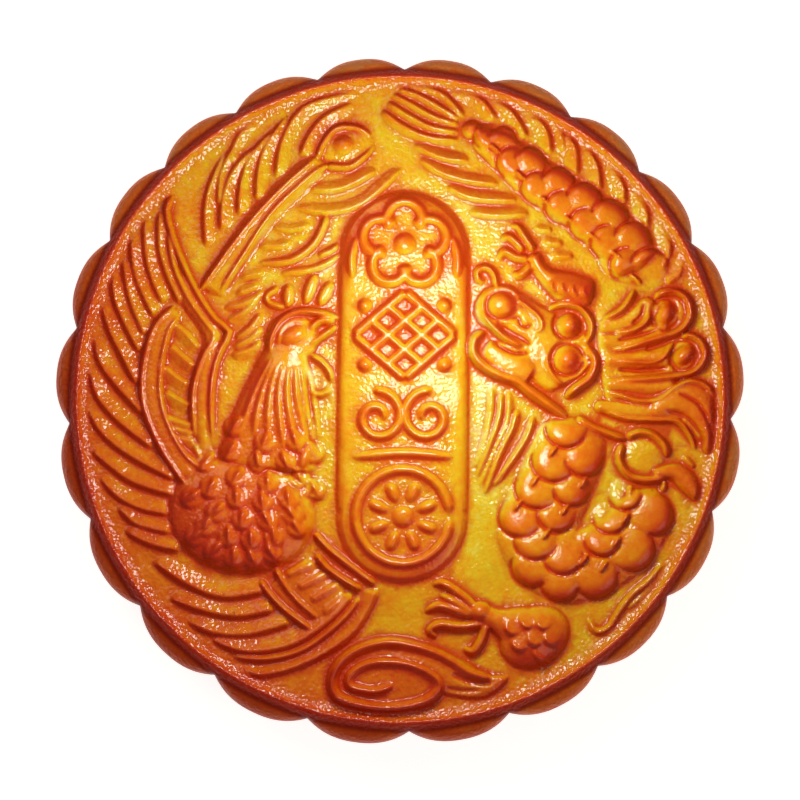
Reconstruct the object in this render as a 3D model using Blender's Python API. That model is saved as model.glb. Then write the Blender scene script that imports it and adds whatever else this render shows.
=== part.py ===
"""Large pressed mooncake with a phoenix and a dragon on its face.

One baked solid. Its side is a ring of round petals, its top edge a raised
rim, and inside the rim the face carries the relief that the mould leaves: the
two animals, a cloud, and an upright panel of four plain ornaments.
The face is worked out as a table of heights on a square lattice: every motif
is a line, a family of lines, a dome or a scale that raises that table.
Places and sizes of the relief are in millimetres from the cake's axis.
"""
import math

import bmesh
import bpy
import numpy as np

MM = 0.001

# Body, in millimetres
TIP_RADIUS = 75.0          # axis to the outermost point of a petal
NOTCH_RADIUS = 72.0        # axis to the notch between two petals
PETALS = 22
PETAL_ROUNDNESS = 2.4      # 2 is a parabola, more is a fuller petal
PETAL_DRIFT = 4.5          # degrees by which the petal spacing drifts
PETAL_DRIFT_FROM = -15.0   # direction, in degrees, in which it drifts most
PETAL_START = 7.9          # degrees by which the first notch is turned
FIELD_HEIGHT = 32.3        # sunken field of the face
RIM_RISE = 2.4             # rim above the field
SHOULDER = 5.0             # height of the rounding at a petal's top
SAG_HEIGHT = 9.5           # below this the wall leans in
SAG_INSET = 0.6            # how far it has leaned in above the foot
FOOT = 4.0                 # height of the rounding at the base
FOOT_INSET = 3.2           # how far the base draws in
FOOT_FLATTENING = 0.3      # share of a petal's depth lost at the base

# Rim, as radii from the axis
CREASE_RADIUS = 71.5       # groove between rim and petals
CREST_RADIUS = 69.8
RIM_FOOT_RADIUS = 66.0
RELIEF_RADIUS = 68.8       # the relief dies away towards the rim here

# Relief heights above the field
PANEL_RISE = 1.25          # panel between the two animals
ORNAMENT_RISE = 0.9        # the panel's ornaments, above the panel
ORNAMENT_WIDTH = 1.9
LINE_RISE = 1.5            # drawn lines, such as a quill
BARB_RISE = 1.15           # feather barbs and fins
BODY_RISE = 2.0            # limbs and bodies
BREAST_RISE = 3.0          # the bird's breast, the fullest form
SCALE_RISE = 0.85
GROOVE_DEPTH = 0.8

# Fineness
LATTICE = 0.4              # spacing of the table of heights
REACH = 76.0               # half the table's width
SOFTENING = 0.35           # rounding of every edge by the bake
FACE_CELLS = 150           # cells across the face before thinning
FACE_COUNT = 6300          # triangles left on the face after thinning
PETAL_FACETS = 8           # facets across one petal of the wall

AXIS = np.arange(-REACH, REACH + LATTICE / 2, LATTICE)
X, Y = np.meshgrid(AXIS, AXIS)
height = np.zeros_like(X)


# ---------------------------------------------------------------- relief tools
def smooth(points, count=24):
    """Even points along a soft curve through a few given ones."""
    p = np.asarray(points, float)
    place = np.concatenate([[0], np.cumsum(np.hypot(*np.diff(p, axis=0).T))])
    t = np.linspace(0, place[-1], count)
    if len(p) == 2:
        return p[0] + (p[1] - p[0]) * (t / place[-1])[:, None]
    slope = np.gradient(p, place, axis=0, edge_order=2)
    k = np.clip(np.searchsorted(place, t, side="right") - 1, 0, len(p) - 2)
    gap = (place[k + 1] - place[k])[:, None]
    u = (t - place[k])[:, None] / gap
    start = (2 * u**3 - 3 * u**2 + 1) * p[k] + (u**3 - 2 * u**2 + u) * gap * slope[k]
    end = (3 * u**2 - 2 * u**3) * p[k + 1] + (u**3 - u**2) * gap * slope[k + 1]
    return start + end


def arc(cx, cy, rx, ry, start, stop, count=20):
    """Points on an ellipse between two angles in degrees."""
    t = np.radians(np.linspace(start, stop, count))
    return np.stack([cx + rx * np.cos(t), cy + ry * np.sin(t)], 1)


def window(points, reach):
    """The part of the table that a shape can touch."""
    low = np.asarray(points).min(0) - reach
    high = np.asarray(points).max(0) + reach
    rows, cols = [
        slice(*np.clip(np.rint((np.array([low[i], high[i]]) + REACH) / LATTICE).astype(int)
                       + (0, 1), 0, len(AXIS)))
        for i in (1, 0)
    ]
    return rows, cols


def nearest(line, area):
    """Distance to a line, the side (+1 is its left) and the place along it."""
    x, y = X[area], Y[area]
    best = np.full(x.shape, np.inf)
    side = np.zeros(x.shape)
    along = np.zeros(x.shape)
    step = np.diff(line, axis=0)
    length = np.hypot(*step.T)
    start = np.concatenate([[0], np.cumsum(length)])
    for k in range(len(step)):
        u = ((x - line[k, 0]) * step[k, 0] + (y - line[k, 1]) * step[k, 1]) / length[k] ** 2
        u = np.clip(u, 0, 1)
        dx = x - line[k, 0] - u * step[k, 0]
        dy = y - line[k, 1] - u * step[k, 1]
        away = np.hypot(dx, dy)
        hit = away < best
        best = np.where(hit, away, best)
        side = np.where(hit, np.sign(step[k, 0] * dy - step[k, 1] * dx), side)
        along = np.where(hit, (start[k] + u * length[k]) / start[-1], along)
    return best, side, along


def merge(area, shape, how):
    """Raise the table to a shape, set the shape on the panel, pile it up or cut it in."""
    if how == "raise":
        height[area] = np.maximum(height[area], shape)
    elif how == "panel":
        height[area] = np.maximum(height[area], np.where(shape > 0, PANEL_RISE + shape, 0))
    elif how == "pile":
        height[area] += shape
    else:
        height[area] -= shape


def tips(along, first, last):
    """A line thins out over these shares of its length at either end."""
    taper = np.ones_like(along)
    if first:
        taper = np.minimum(taper, 0.25 + 0.75 * np.sqrt(np.clip(along / first, 0, 1)))
    if last:
        taper = np.minimum(taper, 0.25 + 0.75 * np.sqrt(np.clip((1 - along) / last, 0, 1)))
    return taper


def blade(points, left, right, rise, first=0.2, last=0.3, how="raise", count=24):
    """A line with a long flank on one side and a short one on the other."""
    line = smooth(points, count)
    area = window(line, max(left, right))
    away, side, along = nearest(line, area)
    taper = tips(along, first, last)
    share = np.clip(1 - away / (np.where(side > 0, left, right) * taper), 0, 1)
    merge(area, rise * taper * share, how)


def ridge(points, width, rise, first=0.15, last=0.2, how="raise", count=24):
    """A round-backed line."""
    line = smooth(points, count)
    area = window(line, width)
    away, _, along = nearest(line, area)
    taper = tips(along, first, last)
    share = np.clip(1 - (2 * away / (width * taper)) ** 2, 0, 1)
    merge(area, rise * taper * share ** 0.7, how)


def groove(points, width=1.5, depth=GROOVE_DEPTH):
    """A round-bottomed cut."""
    ridge(points, width, depth, 0.2, 0.2, "cut")


def family(guides, count, left, right, rise=BARB_RISE, first=0.2, last=0.2, how="raise"):
    """Blades that change step by step from one guide line to the next."""
    lines = np.array([smooth(guide, 9) for guide in guides])
    for place in np.linspace(0, len(lines) - 1, count):
        k = min(int(place), len(lines) - 2)
        line = lines[k] + (lines[k + 1] - lines[k]) * (place - k)
        blade(line, left, right, rise, first, last, how)


def limb(points, halves, rise, fullness=0.55):
    """A rounded body whose half width changes along its middle line."""
    line = smooth(points)
    area = window(line, max(halves))
    away, _, along = nearest(line, area)
    half = np.interp(along, np.linspace(0, 1, len(halves)), halves)
    merge(area, rise * np.clip(1 - (away / half) ** 2, 0, 1) ** fullness, "raise")


def dome(x, y, rx, ry, turn, rise, how="raise", fullness=0.55):
    """An oval dome, turned by an angle in degrees."""
    area = window([(x, y)], max(rx, ry))
    c, s = math.cos(math.radians(turn)), math.sin(math.radians(turn))
    u = ((X[area] - x) * c + (Y[area] - y) * s) / rx
    v = ((Y[area] - y) * c - (X[area] - x) * s) / ry
    merge(area, rise * np.clip(1 - u * u - v * v, 0, 1) ** fullness, how)


def scale(x, y, radius, turn, rise=SCALE_RISE):
    """One scale: it rises towards its round free edge, then drops."""
    area = window([(x, y)], radius)
    c, s = math.cos(math.radians(turn)), math.sin(math.radians(turn))
    u = (X[area] - x) * c + (Y[area] - y) * s
    edge = np.clip((1 - np.hypot(X[area] - x, Y[area] - y) / radius) / 0.22, 0, 1)
    merge(area, rise * np.clip((u / radius + 0.9) / 1.7, 0, 1) * edge, "pile")


def scaled_limb(points, halves, rise, rows, spread=0.71):
    """A limb under two staggered rows of scales."""
    limb(points, halves, rise)
    line = smooth(points, 120)
    way = np.gradient(line, axis=0)
    way /= np.hypot(*way.T)[:, None]
    for k in range(2 * rows - 1):
        place = (k + 0.6) / (2 * rows)
        i = int(place * (len(line) - 1))
        half = np.interp(place, np.linspace(0, 1, len(halves)), halves)
        side = half * (0.55 if k % 2 else -0.55)
        turn = math.degrees(math.atan2(way[i, 1], way[i, 0]))
        scale(line[i, 0] - way[i, 1] * side, line[i, 1] + way[i, 0] * side, spread * half, turn)


def between(one, other):
    """The line half way between two lines of as many points."""
    return (np.array(one) + np.array(other)) / 2


# --------------------------------------------------------------------- motifs
def panel():
    """Long panel with round ends in the middle of the face."""
    end_low, end_high, half, edge = -26.0, 31.0, 14.2, 1.3
    area = window([(-half, end_low - half), (half, end_high + half)], 1)
    away = np.hypot(X[area] - 0.6, Y[area] - np.clip(Y[area], end_low, end_high))
    merge(area, PANEL_RISE * np.clip((half - away) / edge, 0, 1), "raise")


def stroke(points, first=0.0, last=0.0):
    """One line of an ornament on the panel."""
    ridge(points, ORNAMENT_WIDTH, ORNAMENT_RISE, first, last, "panel", 40)


def blossom(x, y, count, ring, petal_size, turn):
    """Round petals, open towards a small heart."""
    for k in range(count):
        way = turn + 360 * k / count
        px = x + ring * math.cos(math.radians(way))
        py = y + ring * math.sin(math.radians(way))
        stroke(arc(px, py, petal_size, petal_size, way - 128, way + 128))
    dome(x, y, 1.9, 1.9, 0, ORNAMENT_RISE, "panel")


def ornaments():
    """A blossom, a lozenge lattice, a pair of curls and a rayed flower in a ring."""
    blossom(1.0, 33.0, 5, 5.0, 3.3, 90)
    x, y, half = 1.0, 14.0, 9.6
    for inner in (0.0, half):
        for way in (1, -1):
            stroke([(x - half + inner, y - way * inner), (x + inner, y + way * (half - inner))])
            stroke([(x - half + inner, y + way * inner), (x + inner, y - way * (half - inner))])
    for dx, dy in ((0, half / 2), (0, -half / 2), (half / 2, 0), (-half / 2, 0)):
        dome(x + dx, y + dy, 1.3, 1.3, 0, ORNAMENT_RISE, "panel")
    x, y = 0.6, -4.4
    turn = np.linspace(0, 1, 40)
    reach = 5.2 * (1 - 0.82 * turn)
    for way in (1, -1):
        angle = np.radians(100 - 500 * turn)
        curl = np.stack([x + way * (4.7 - reach * np.cos(angle)), y + reach * np.sin(angle)], 1)
        stroke(curl, 0.05, 0.1)
    stroke([(x - 8.6, y - 7.6), (x, y - 6.2), (x + 8.6, y - 7.6)], 0.3, 0.3)
    x, y = 0.6, -25.6
    stroke(arc(x, y, 9.6, 9.6, 0, 360, 60))
    for k in range(8):
        way = math.radians(22.5 + 45 * k)
        near, far = (2.9, 7.3)
        limb_line = [(x + near * math.cos(way), y + near * math.sin(way)),
                     (x + far * math.cos(way), y + far * math.sin(way))]
        ridge(limb_line, 2.4, ORNAMENT_RISE, 0.5, 0.3, "panel", 6)
    dome(x, y, 1.9, 1.9, 0, ORNAMENT_RISE, "panel")


def eye_feather():
    """The bird's long tail feather with its eye, and the barbs on both sides."""
    upper = [(-43.5, 23), (-36.5, 33), (-30.5, 40.5), (-25, 46.2), (-17.6, 52.6)]
    lower = [(-39.3, 22.5), (-34.3, 30.5), (-28, 40), (-22, 46), (-15, 50.8)]
    ridge(between(upper, lower), 6.2, 0.9)
    for line in (upper, lower):
        ridge(line, 1.6, LINE_RISE)
    ridge([(-18, 52), (-16.5, 55.5), (-13.8, 58.6), (-9.5, 58.8), (-6, 56.8)], 1.6, 1.35)
    ridge([(-16, 50.6), (-11, 50.4), (-7.5, 52.8), (-5.6, 55.2)], 1.6, 1.35)
    dome(-11.6, 54.7, 6.2, 4.0, 8, 0.9)
    dome(-12.2, 54.9, 2.5, 2.3, 0, 1.7)
    family([[(-21.5, 52.5), (-20, 56.5), (-16.5, 61), (-10, 64.3)],
            [(-26.8, 47.8), (-25.5, 56), (-20.5, 63.5), (-9, 66.9)]], 2, 0.9, 2.6)
    family([[(-31, 43), (-30.8, 49), (-29, 55), (-24.5, 61.5)],
            [(-38.8, 36.5), (-38.3, 44), (-35.5, 50.5), (-29.5, 56)]], 3, 0.9, 2.6)
    family([[(-36.8, 51), (-36, 55), (-33.5, 59), (-29, 62)],
            [(-42, 33), (-42.3, 41), (-41, 47), (-38, 53.5)]], 3, 0.8, 2.2)
    family([[(-19.5, 45.3), (-14, 45.3), (-9.5, 47), (-5, 49.6)],
            [(-23, 41.6), (-16, 40.4), (-8, 42.4), (0.5, 50)]], 2, 2.2, 0.9)
    family([[(-27.5, 37), (-22, 36.8), (-19.5, 37.8)],
            [(-30.5, 33), (-26, 33), (-23.5, 33.8)]], 2, 1.5, 0.8)
    ridge([(-31, 29.4), (-24, 29.9), (-19, 33.2), (-16, 40)], 1.9, 1.1)
    ridge([(-26, 27.1), (-20, 27.8), (-16, 29.2), (-12.8, 31.5)], 1.7, 0.8)
    family([[(-34.5, 26.2), (-32, 26.6), (-29.5, 27.4)],
            [(-37.5, 16.6), (-33.5, 18.8), (-29.6, 23.5)]], 4, 1.5, 0.8)


def wing():
    """The bird's wing: outer barbs, quill band, inner panel and lowest quills."""
    family([[(-52.2, 41), (-52.2, 33), (-50.6, 27), (-47.6, 20.5)],
            [(-58.2, 36.8), (-58, 30), (-56.6, 24.5), (-53.2, 17.6)],
            [(-62.4, 27.8), (-61.9, 22), (-60, 17), (-56.4, 10)],
            [(-66.2, 13.5), (-65, 8), (-61.5, 3), (-55.6, -3.5)],
            [(-67.6, -2), (-64.5, -7.5), (-58, -12.6), (-48.5, -17.6)]], 9, 3.0, 0.9)
    family([[(-67.5, -10.5), (-63.5, -14), (-57.5, -18.2), (-48.5, -21)],
            [(-59.5, -28.5), (-56, -30.5), (-52, -32), (-47.5, -32.8)]], 4, 3.0, 0.9)
    family([[(-53.5, -35), (-46, -40), (-38, -42.9), (-29, -41.5)],
            [(-46, -48), (-40, -50.6), (-32, -50.8), (-23.5, -48.3)]], 3, 3.2, 1.0)
    blade([(-41, -52), (-33, -54.6), (-23, -53), (-14.5, -47.3), (-10.2, -42.3)], 3.4, 1.0, 1.35)
    ridge([(-36.5, -55.6), (-29, -56.2), (-20.5, -54), (-12.5, -47.8), (-8.6, -42.8)], 1.6, 1.25)
    blade([(-36.5, -58.6), (-29.5, -59.6), (-19.5, -56.6), (-10, -50.2), (-4.9, -41)], 2.2, 1.1, 1.25)
    outer = [(-48.6, 20.2), (-53.3, 15), (-55.6, 6), (-55.4, -1.5), (-52.3, -9.5), (-45, -20.3)]
    inner = [(-47.5, 18.4), (-50.3, 14), (-51.9, 5), (-51.5, -1.5), (-49.2, -7.8), (-42.6, -15.2)]
    ridge(between(outer, inner), 5.6, BARB_RISE)
    for line in (outer, inner):
        ridge(line, 1.6, LINE_RISE)
    family([[(-48.6, 16.2), (-46, 13.8), (-43.6, 11)],
            [(-51, 7), (-48.6, 4.8), (-45.8, 3.0)],
            [(-49.2, -7.6), (-46.8, -8.7), (-44.4, -9.2)]], 7, 0.8, 2.2)
    ridge([(-49, 44.5), (-50.6, 41), (-47.2, 29.5), (-43.6, 22.3), (-37, 14.3),
           (-40.4, 5.5), (-40.9, -1), (-40.6, -9)], 1.7, LINE_RISE)
    ridge([(-50.4, 37), (-46, 22), (-40.2, 13.4), (-44.5, 3), (-44.8, -3), (-44.2, -9)], 1.6, 1.4)
    ridge([(-48, 27.5), (-42, 16.6), (-40.5, 12.5), (-42.4, 5), (-42.4, -12)], 4.4, 1.0)


def barred_feather():
    """The short feather with cross bars under the breast."""
    ridge([(-24.2, -37), (-21.5, -40.5), (-18, -43.6), (-13.5, -46)], 12.0, BARB_RISE * 0.75)
    ridge([(-30.3, -39.3), (-28, -42.4), (-24.5, -45.9), (-19, -50)], 1.5, 1.7)
    ridge([(-26.9, -36.8), (-24.9, -40.3), (-21.9, -43.9), (-17.8, -47.4)], 1.6, 1.6)
    ridge([(-18.1, -33.8), (-15.8, -36.6), (-12.5, -39), (-8.4, -41.4)], 1.7, 1.8)
    ridge([(-18.6, -29), (-15.5, -32.4), (-11, -36), (-5.3, -40.3)], 1.5, LINE_RISE)
    for share in np.linspace(0, 1, 4):
        start = (-24.6 + 8.2 * share, -38.2 - 8.2 * share)
        stop = (-18.4 + 8.0 * share, -35.6 - 6.6 * share)
        ridge([start, stop], 1.9, 0.5, how="pile")


def bird():
    """The bird's head, neck and scaled breast."""
    limb([(-24, 12), (-26, 4), (-28, -6), (-29, -16)], [4.5, 6.5, 9.0, 11.5], 1.9)
    dome(-34.3, -25.3, 16.2, 12.8, -8, BREAST_RISE, fullness=0.5)
    dome(-23.5, 13.0, 6.0, 5.6, 20, 1.7)
    family([[(-27.8, 8.6), (-31, 2.5), (-33.6, -4.5), (-34.6, -9)],
            [(-24.6, 7), (-25.5, 1), (-24.6, -6), (-23.2, -12.5)],
            [(-20.4, 8.6), (-19.2, 3), (-18.1, -4), (-17.6, -9)]], 7, 0.9, 0.9, 0.6, how="pile")
    ridge([(-28.2, 8.4), (-27.8, 13.2), (-25.6, 17), (-22, 18.7), (-17, 18.4), (-13, 17.3)], 1.8, 2.1)
    dome(-22.9, 13.6, 3.0, 1.6, 26, 0.7, "pile", 0.5)
    ridge([(-20, 14.3), (-17.5, 16.7), (-13.9, 16.8)], 2.0, 1.7)
    ridge([(-19.9, 11.2), (-17, 13.4), (-13.6, 15.7)], 1.7, 1.5)
    for root, tip in (((-20.6, 20.6), (-18.4, 26.9)), ((-17.6, 20.2), (-14.8, 25.2)),
                      ((-24.4, 19.8), (-24.2, 24.6))):
        limb([root, between(root, tip), tip], [1.2, 2.0, 1.3], 1.1)
    ridge([(-19.4, 9.4), (-17, 7.9), (-15.2, 5.6), (-15, 3.6)], 1.6, 1.1)
    for row in range(7):
        down = row / 6.0
        half = 8.0 + 5.5 * math.sin(math.pi * (0.15 + 0.75 * down))
        count = 3 + (row > 0) + (row > 2)
        for k in range(count):
            u = (2 * k + 1) / count - 1 + (0.12 if row % 2 else -0.12)
            x = -27.5 - 7.0 * down + u * half
            y = -8.0 - 25.0 * down + 4.0 * u * u - 1.5 * u
            scale(x, y, 3.1, math.degrees(math.atan2(-1.0, 0.75 * u - 0.15)))


def cloud():
    """The curled cloud with its tail, at the foot of the face."""
    turn = np.linspace(0, 1, 40)
    angle = np.radians(88 + 360 * 1.62 * turn)
    shrink = 1 - 0.8 * turn
    curl = np.stack([-4.4 + 2 * turn + 12.3 * shrink * np.cos(angle),
                     -61 - turn + 6.4 * shrink * np.sin(angle)], 1)
    limb([(-13, -61), (-4, -61.8), (4, -61.5)], [5.2, 7.0, 4.5], 0.9, 0.4)
    blade(curl, 1.0, 2.6, BODY_RISE, 0, 0.12, count=90)
    blade([(23.5, -60.2), (19.5, -61.2), (14.5, -59.2), (4.0, -54.2), (-1.0, -53.0)], 1.0, 3.4, 1.9)
    limb([(23.5, -60.3), (17, -62.4), (9, -61.2), (2, -57.5)], [0.8, 2.6, 3.8, 3.0], 1.3)


def dragon_tail():
    """Tail tuft, the fins along the back and those under the tail."""
    family([[(1, 68), (5.5, 67.8), (10, 65.6), (14, 61)],
            [(-4, 62.8), (0, 59.6), (6, 56.9), (12.8, 56.2)]], 5, 0.9, 1.8)
    dome(15.6, 58.4, 2.2, 2.0, 0, 1.7)
    family([[(3, 55), (7, 53), (10.5, 51.9), (15, 51.5)],
            [(4, 52), (9, 48.9), (15, 47.2), (21.5, 46.4)],
            [(15, 40.4), (19, 39.7), (23.5, 39.6), (28, 40)]], 4, 2.0, 0.9)
    family([[(10.5, 66.5), (15, 66.8), (18.5, 64), (20.8, 60.5)],
            [(27.5, 63.5), (31, 59.5), (32.3, 56.5), (32.5, 53)],
            [(40.5, 54.8), (42.6, 51), (43.2, 48), (43.2, 45)],
            [(56.5, 40), (58.4, 36), (58.4, 31.8), (56.6, 27.6)]], 8, 0.9, 3.0)


def dragon_body():
    """The two scaled stretches of the body."""
    scaled_limb([(15.5, 57.2), (22, 53.2), (28.5, 47.6), (35, 43.4), (42, 39.6), (48, 33.8),
                 (51.5, 26.8)], [1.5, 3.4, 4.6, 5.4, 6.0, 6.2, 5.2], 1.9, 8)
    scaled_limb([(37.5, -4.5), (33.5, -12), (29.5, -20), (26.8, -28), (29.5, -35), (36, -38.4),
                 (43.5, -36), (49.5, -30.4), (53.8, -24), (56.5, -18.5)],
                [4.2, 5.6, 6.2, 6.6, 7.0, 7.0, 6.6, 5.8, 4.6, 2.6], BODY_RISE, 12)


def dragon_claws():
    """The raised claw, and the lower claw on its scaled leg."""
    limb([(28.6, 31.5), (31, 27.2), (36, 24), (42, 22.6)], [1.6, 1.8, 3.6, 3.0], 1.8)
    for toe in ([(29, 32), (27, 35), (24, 37.3)], [(26.8, 32), (25, 34), (22, 34.3)],
                [(28, 30.2), (22.8, 31.8), (21.2, 30.3)], [(28.4, 29), (26.5, 27), (24.4, 26.7)]):
        ridge(toe, 2.1, 1.6, 0.1, 0.5)
    limb([(17.3, -46.2), (20.5, -47.8), (25, -49.6), (30, -51.4)], [2.3, 2.6, 5.0, 6.6], BODY_RISE)
    dome(29, -51.6, 8.0, 6.6, 30, 2.5)
    dome(17.3, -46.1, 2.6, 2.4, 0, 2.6)
    for toe in ([(16.6, -45.4), (12.6, -42), (9, -39.9), (7.0, -40.5)],
                [(16, -46.5), (12, -44.1), (8.6, -42.4)],
                [(15.6, -47), (11, -45.4), (8, -44.8), (5.4, -46.2)],
                [(18, -48.6), (8.6, -48.8), (6.4, -50.2), (8.2, -51.6)],
                [(18.6, -48.6), (17.6, -52), (15.8, -54.6), (13.6, -53.8)]):
        ridge(toe, 2.3, 1.7, 0.1, 0.4)
    for k in range(9):
        column, row = k % 3, k // 3
        scale(26.2 + 3.0 * column + 0.5 * row, -50.6 + 1.7 * column - 3.1 * row, 2.6, 235, 0.6)


def dragon_mane():
    """Curled locks behind the head, the round curl below them, and a flame."""
    limb([(44, 8), (52, 9), (60, 9)], [11, 13, 8], 0.7, 0.3)
    for lock, halves in (([(45, 14), (52, 16), (58, 18.6)], [2, 4.4, 4.2]),
                         ([(45, 7.4), (54, 8.0), (61, 9)], [2, 3.8, 4.2]),
                         ([(44, 1.6), (54, 1.4), (62, 0.4), (67, -1.6)], [2, 3.2, 3.6, 1.6]),
                         ([(42, -2.4), (52, -2.8), (60, -3.6), (64.4, -8.6)], [1.6, 2.6, 3.8, 2.6]),
                         ([(43, 18), (47.5, 19), (50.8, 23)], [1.2, 2.2, 1.2]),
                         ([(54.5, -16.6), (59.5, -16.4), (64.4, -22.2)], [1.0, 2.1, 0.8])):
        limb(lock, halves, LINE_RISE)
    ridge([(45, 11.6), (60.6, 14.6), (62.4, 18.6), (60.6, 22.6), (56.8, 22.6), (54.8, 19.8)], 2.4, 2.1)
    ridge([(45, 4.2), (55, 4.4), (63, 5.6), (65.6, 9.2), (63.4, 13), (57.6, 9)], 2.4, 2.1)
    dome(59.4, 18.8, 2.9, 2.4, 60, 1.9)
    dome(62.4, 9.2, 2.9, 2.4, 60, 1.9)
    for cut in ([(54.6, 19.8), (53.3, 16.4), (44.6, 14.4)], [(60, 13.9), (53, 11.6), (44.6, 10.8)],
                [(58.8, 12.4), (57, 8.8), (53, 7.4), (45, 7.8)], [(63, 4.6), (55, 3.8), (45.5, 4.2)],
                [(54.5, -0.9), (50, -0.1), (44, 1.6)], [(61, -5), (53, -4.4), (40.5, -0.6)]):
        groove(cut)
    ridge(arc(52.4, -12.4, 5.2, 4.8, -40, -330), 1.7, 1.7)
    dome(52.2, -12.4, 4.4, 4.0, 0, 0.7)
    ridge([(40.6, -47.4), (42.2, -50.2), (47.2, -46), (53.4, -39.6), (57, -35.4)], 1.8, 1.2)


def dragon_head():
    """Snout, jaws, eyes, brows and beard."""
    limb([(21, 19.5), (27, 15.5), (33, 9), (37, 3)], [5.2, 7.2, 9.0, 6.5], LINE_RISE, 0.4)
    dome(21.6, 19.6, 5.6, 5.0, 20, 2.1, fullness=0.45)
    groove(arc(22.0, 20.1, 3.3, 3.0, 0, 360), 1.4, 0.7)
    ridge([(18.6, 12.6), (22, 9.0), (26, 6.0)], 5.0, 0.9, how="cut")
    ridge([(18.8, 14.3), (16.4, 13.2), (15.8, 10), (18, 7.1), (25.5, 3.6), (31, -0.6),
           (36.6, -4.4)], 2.6, 2.1)
    ridge([(17.3, 19.6), (20.8, 14.8), (23.4, 12.6), (27, 11)], 2.0, 2.2)
    ridge([(24.6, 21.8), (27.6, 19.8), (30.2, 17.4), (30.6, 15), (28.4, 13.9)], 1.5, BODY_RISE)
    for x, y, ball in ((36.6, 15.9, 2.5), (36.3, 8.4, 2.8)):
        groove(arc(x, y, ball + 0.7, ball + 0.7, 0, 360))
        dome(x, y, ball, ball, 0, 2.5, fullness=0.5)
    ridge([(32, 19.3), (35.6, 20.4), (39.2, 19.4), (41.4, 16.4), (39.6, 11.8)], 1.7, 1.9)
    ridge([(40, 11.4), (42.2, 8.2), (41.2, 4.6), (38.4, 2.4), (35.8, 0.2)], 2.4, 2.3)
    ridge([(31.8, 9.6), (32.2, 6.6), (33.6, 4.2), (35.4, 2.6)], 1.4, BODY_RISE)
    ridge([(20.9, 24.2), (20.3, 27), (18.6, 28.4), (16.8, 27.6), (18.4, 25.4)], 1.5, 1.3)
    family([[(19.8, 2.6), (19.6, -3), (18.4, -9), (16.2, -15)],
            [(28.8, -3.6), (27.8, -7.6), (25.2, -12), (20.2, -19)]], 5, 1.1, 1.1)


def rim():
    """The raised rim: a soft inner slope, a crest and a steep outer flank."""
    radius = np.hypot(X, Y)
    rise = np.clip((radius - RIM_FOOT_RADIUS) / (CREST_RADIUS - RIM_FOOT_RADIUS), 0, 1)
    fall = np.clip((CREASE_RADIUS - radius) / (CREASE_RADIUS - CREST_RADIUS), 0, 1)
    edge = np.where(radius < CREST_RADIUS, rise * rise * (3 - 2 * rise), fall ** 0.6)
    height[:] *= np.clip((RELIEF_RADIUS - radius) / 1.6, 0, 1)
    height[:] = np.maximum(height, RIM_RISE * edge)


def soften(table):
    """Round every edge a little, as the dough does in the oven."""
    reach = int(math.ceil(3 * SOFTENING / LATTICE))
    weight = np.exp(-0.5 * (np.arange(-reach, reach + 1) * LATTICE / SOFTENING) ** 2)
    weight /= weight.sum()
    for axis in (0, 1):
        table = np.apply_along_axis(np.convolve, axis, table, weight, "same")
    return table


def pressed_face():
    """The finished table of heights above the field."""
    for motif in (panel, ornaments, eye_feather, wing, barred_feather, bird, cloud, dragon_tail,
                  dragon_body, dragon_claws, dragon_mane, dragon_head):
        motif()
    np.clip(height, 0, None, out=height)
    rim()
    return soften(height)


# ----------------------------------------------------------------------- solid
def petal_turn(angle):
    """How many petals lie before an angle in radians; whole numbers are notches."""
    drift = PETAL_DRIFT * np.cos(angle - math.radians(PETAL_DRIFT_FROM))
    return (np.degrees(angle) + PETAL_START - drift) * PETALS / 360


def petal_ring():
    """Angles that divide each petal evenly, and how far out the petal is at each, 0 to 1."""
    fine = np.linspace(0, 2 * math.pi, 7201)
    turn = petal_turn(fine)
    first = math.ceil(turn[0] * PETAL_FACETS)
    wanted = np.arange(first, first + PETALS * PETAL_FACETS) / PETAL_FACETS
    across = 2 * (wanted % 1) - 1
    return np.interp(wanted, turn, fine), 1 - abs(across) ** PETAL_ROUNDNESS


def wall_rings():
    """(height, notch radius, petal depth) from the crease down to the base."""
    full = TIP_RADIUS - NOTCH_RADIUS
    rings = []
    for share in (0.25, 0.5, 0.75, 1.0):
        turn = share * math.pi / 2
        notch = CREASE_RADIUS + (NOTCH_RADIUS - CREASE_RADIUS) * math.sin(turn)
        z = FIELD_HEIGHT - SHOULDER * (1 - math.cos(turn))
        rings.append((z, notch, full * math.sin(turn)))
    rings.append((SAG_HEIGHT, NOTCH_RADIUS - SAG_INSET / 2, full))
    for share in (0.0, 0.5, 1.0):
        turn = share * math.pi / 2
        notch = NOTCH_RADIUS - SAG_INSET - FOOT_INSET * (1 - math.cos(turn))
        z = FOOT * (1 - math.sin(turn))
        rings.append((z, notch, full * (1 - FOOT_FLATTENING * share)))
    return rings


def disc_place(a, b):
    """A point of the unit square moved to the unit disc, square rings to round ones."""
    if a == 0 and b == 0:
        return 0.0, 0.0
    if abs(a) >= abs(b):
        return a * math.cos(math.pi / 4 * b / a), a * math.sin(math.pi / 4 * b / a)
    return b * math.sin(math.pi / 4 * a / b), b * math.cos(math.pi / 4 * a / b)


def read_height(table, x, y):
    """The table's height between its four nearest entries."""
    col, row = (x + REACH) / LATTICE, (y + REACH) / LATTICE
    i, j = int(row), int(col)
    u, v = col - j, row - i
    low = table[i, j] * (1 - u) + table[i, j + 1] * u
    high = table[i + 1, j] * (1 - u) + table[i + 1, j + 1] * u
    return low * (1 - v) + high * v


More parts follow.
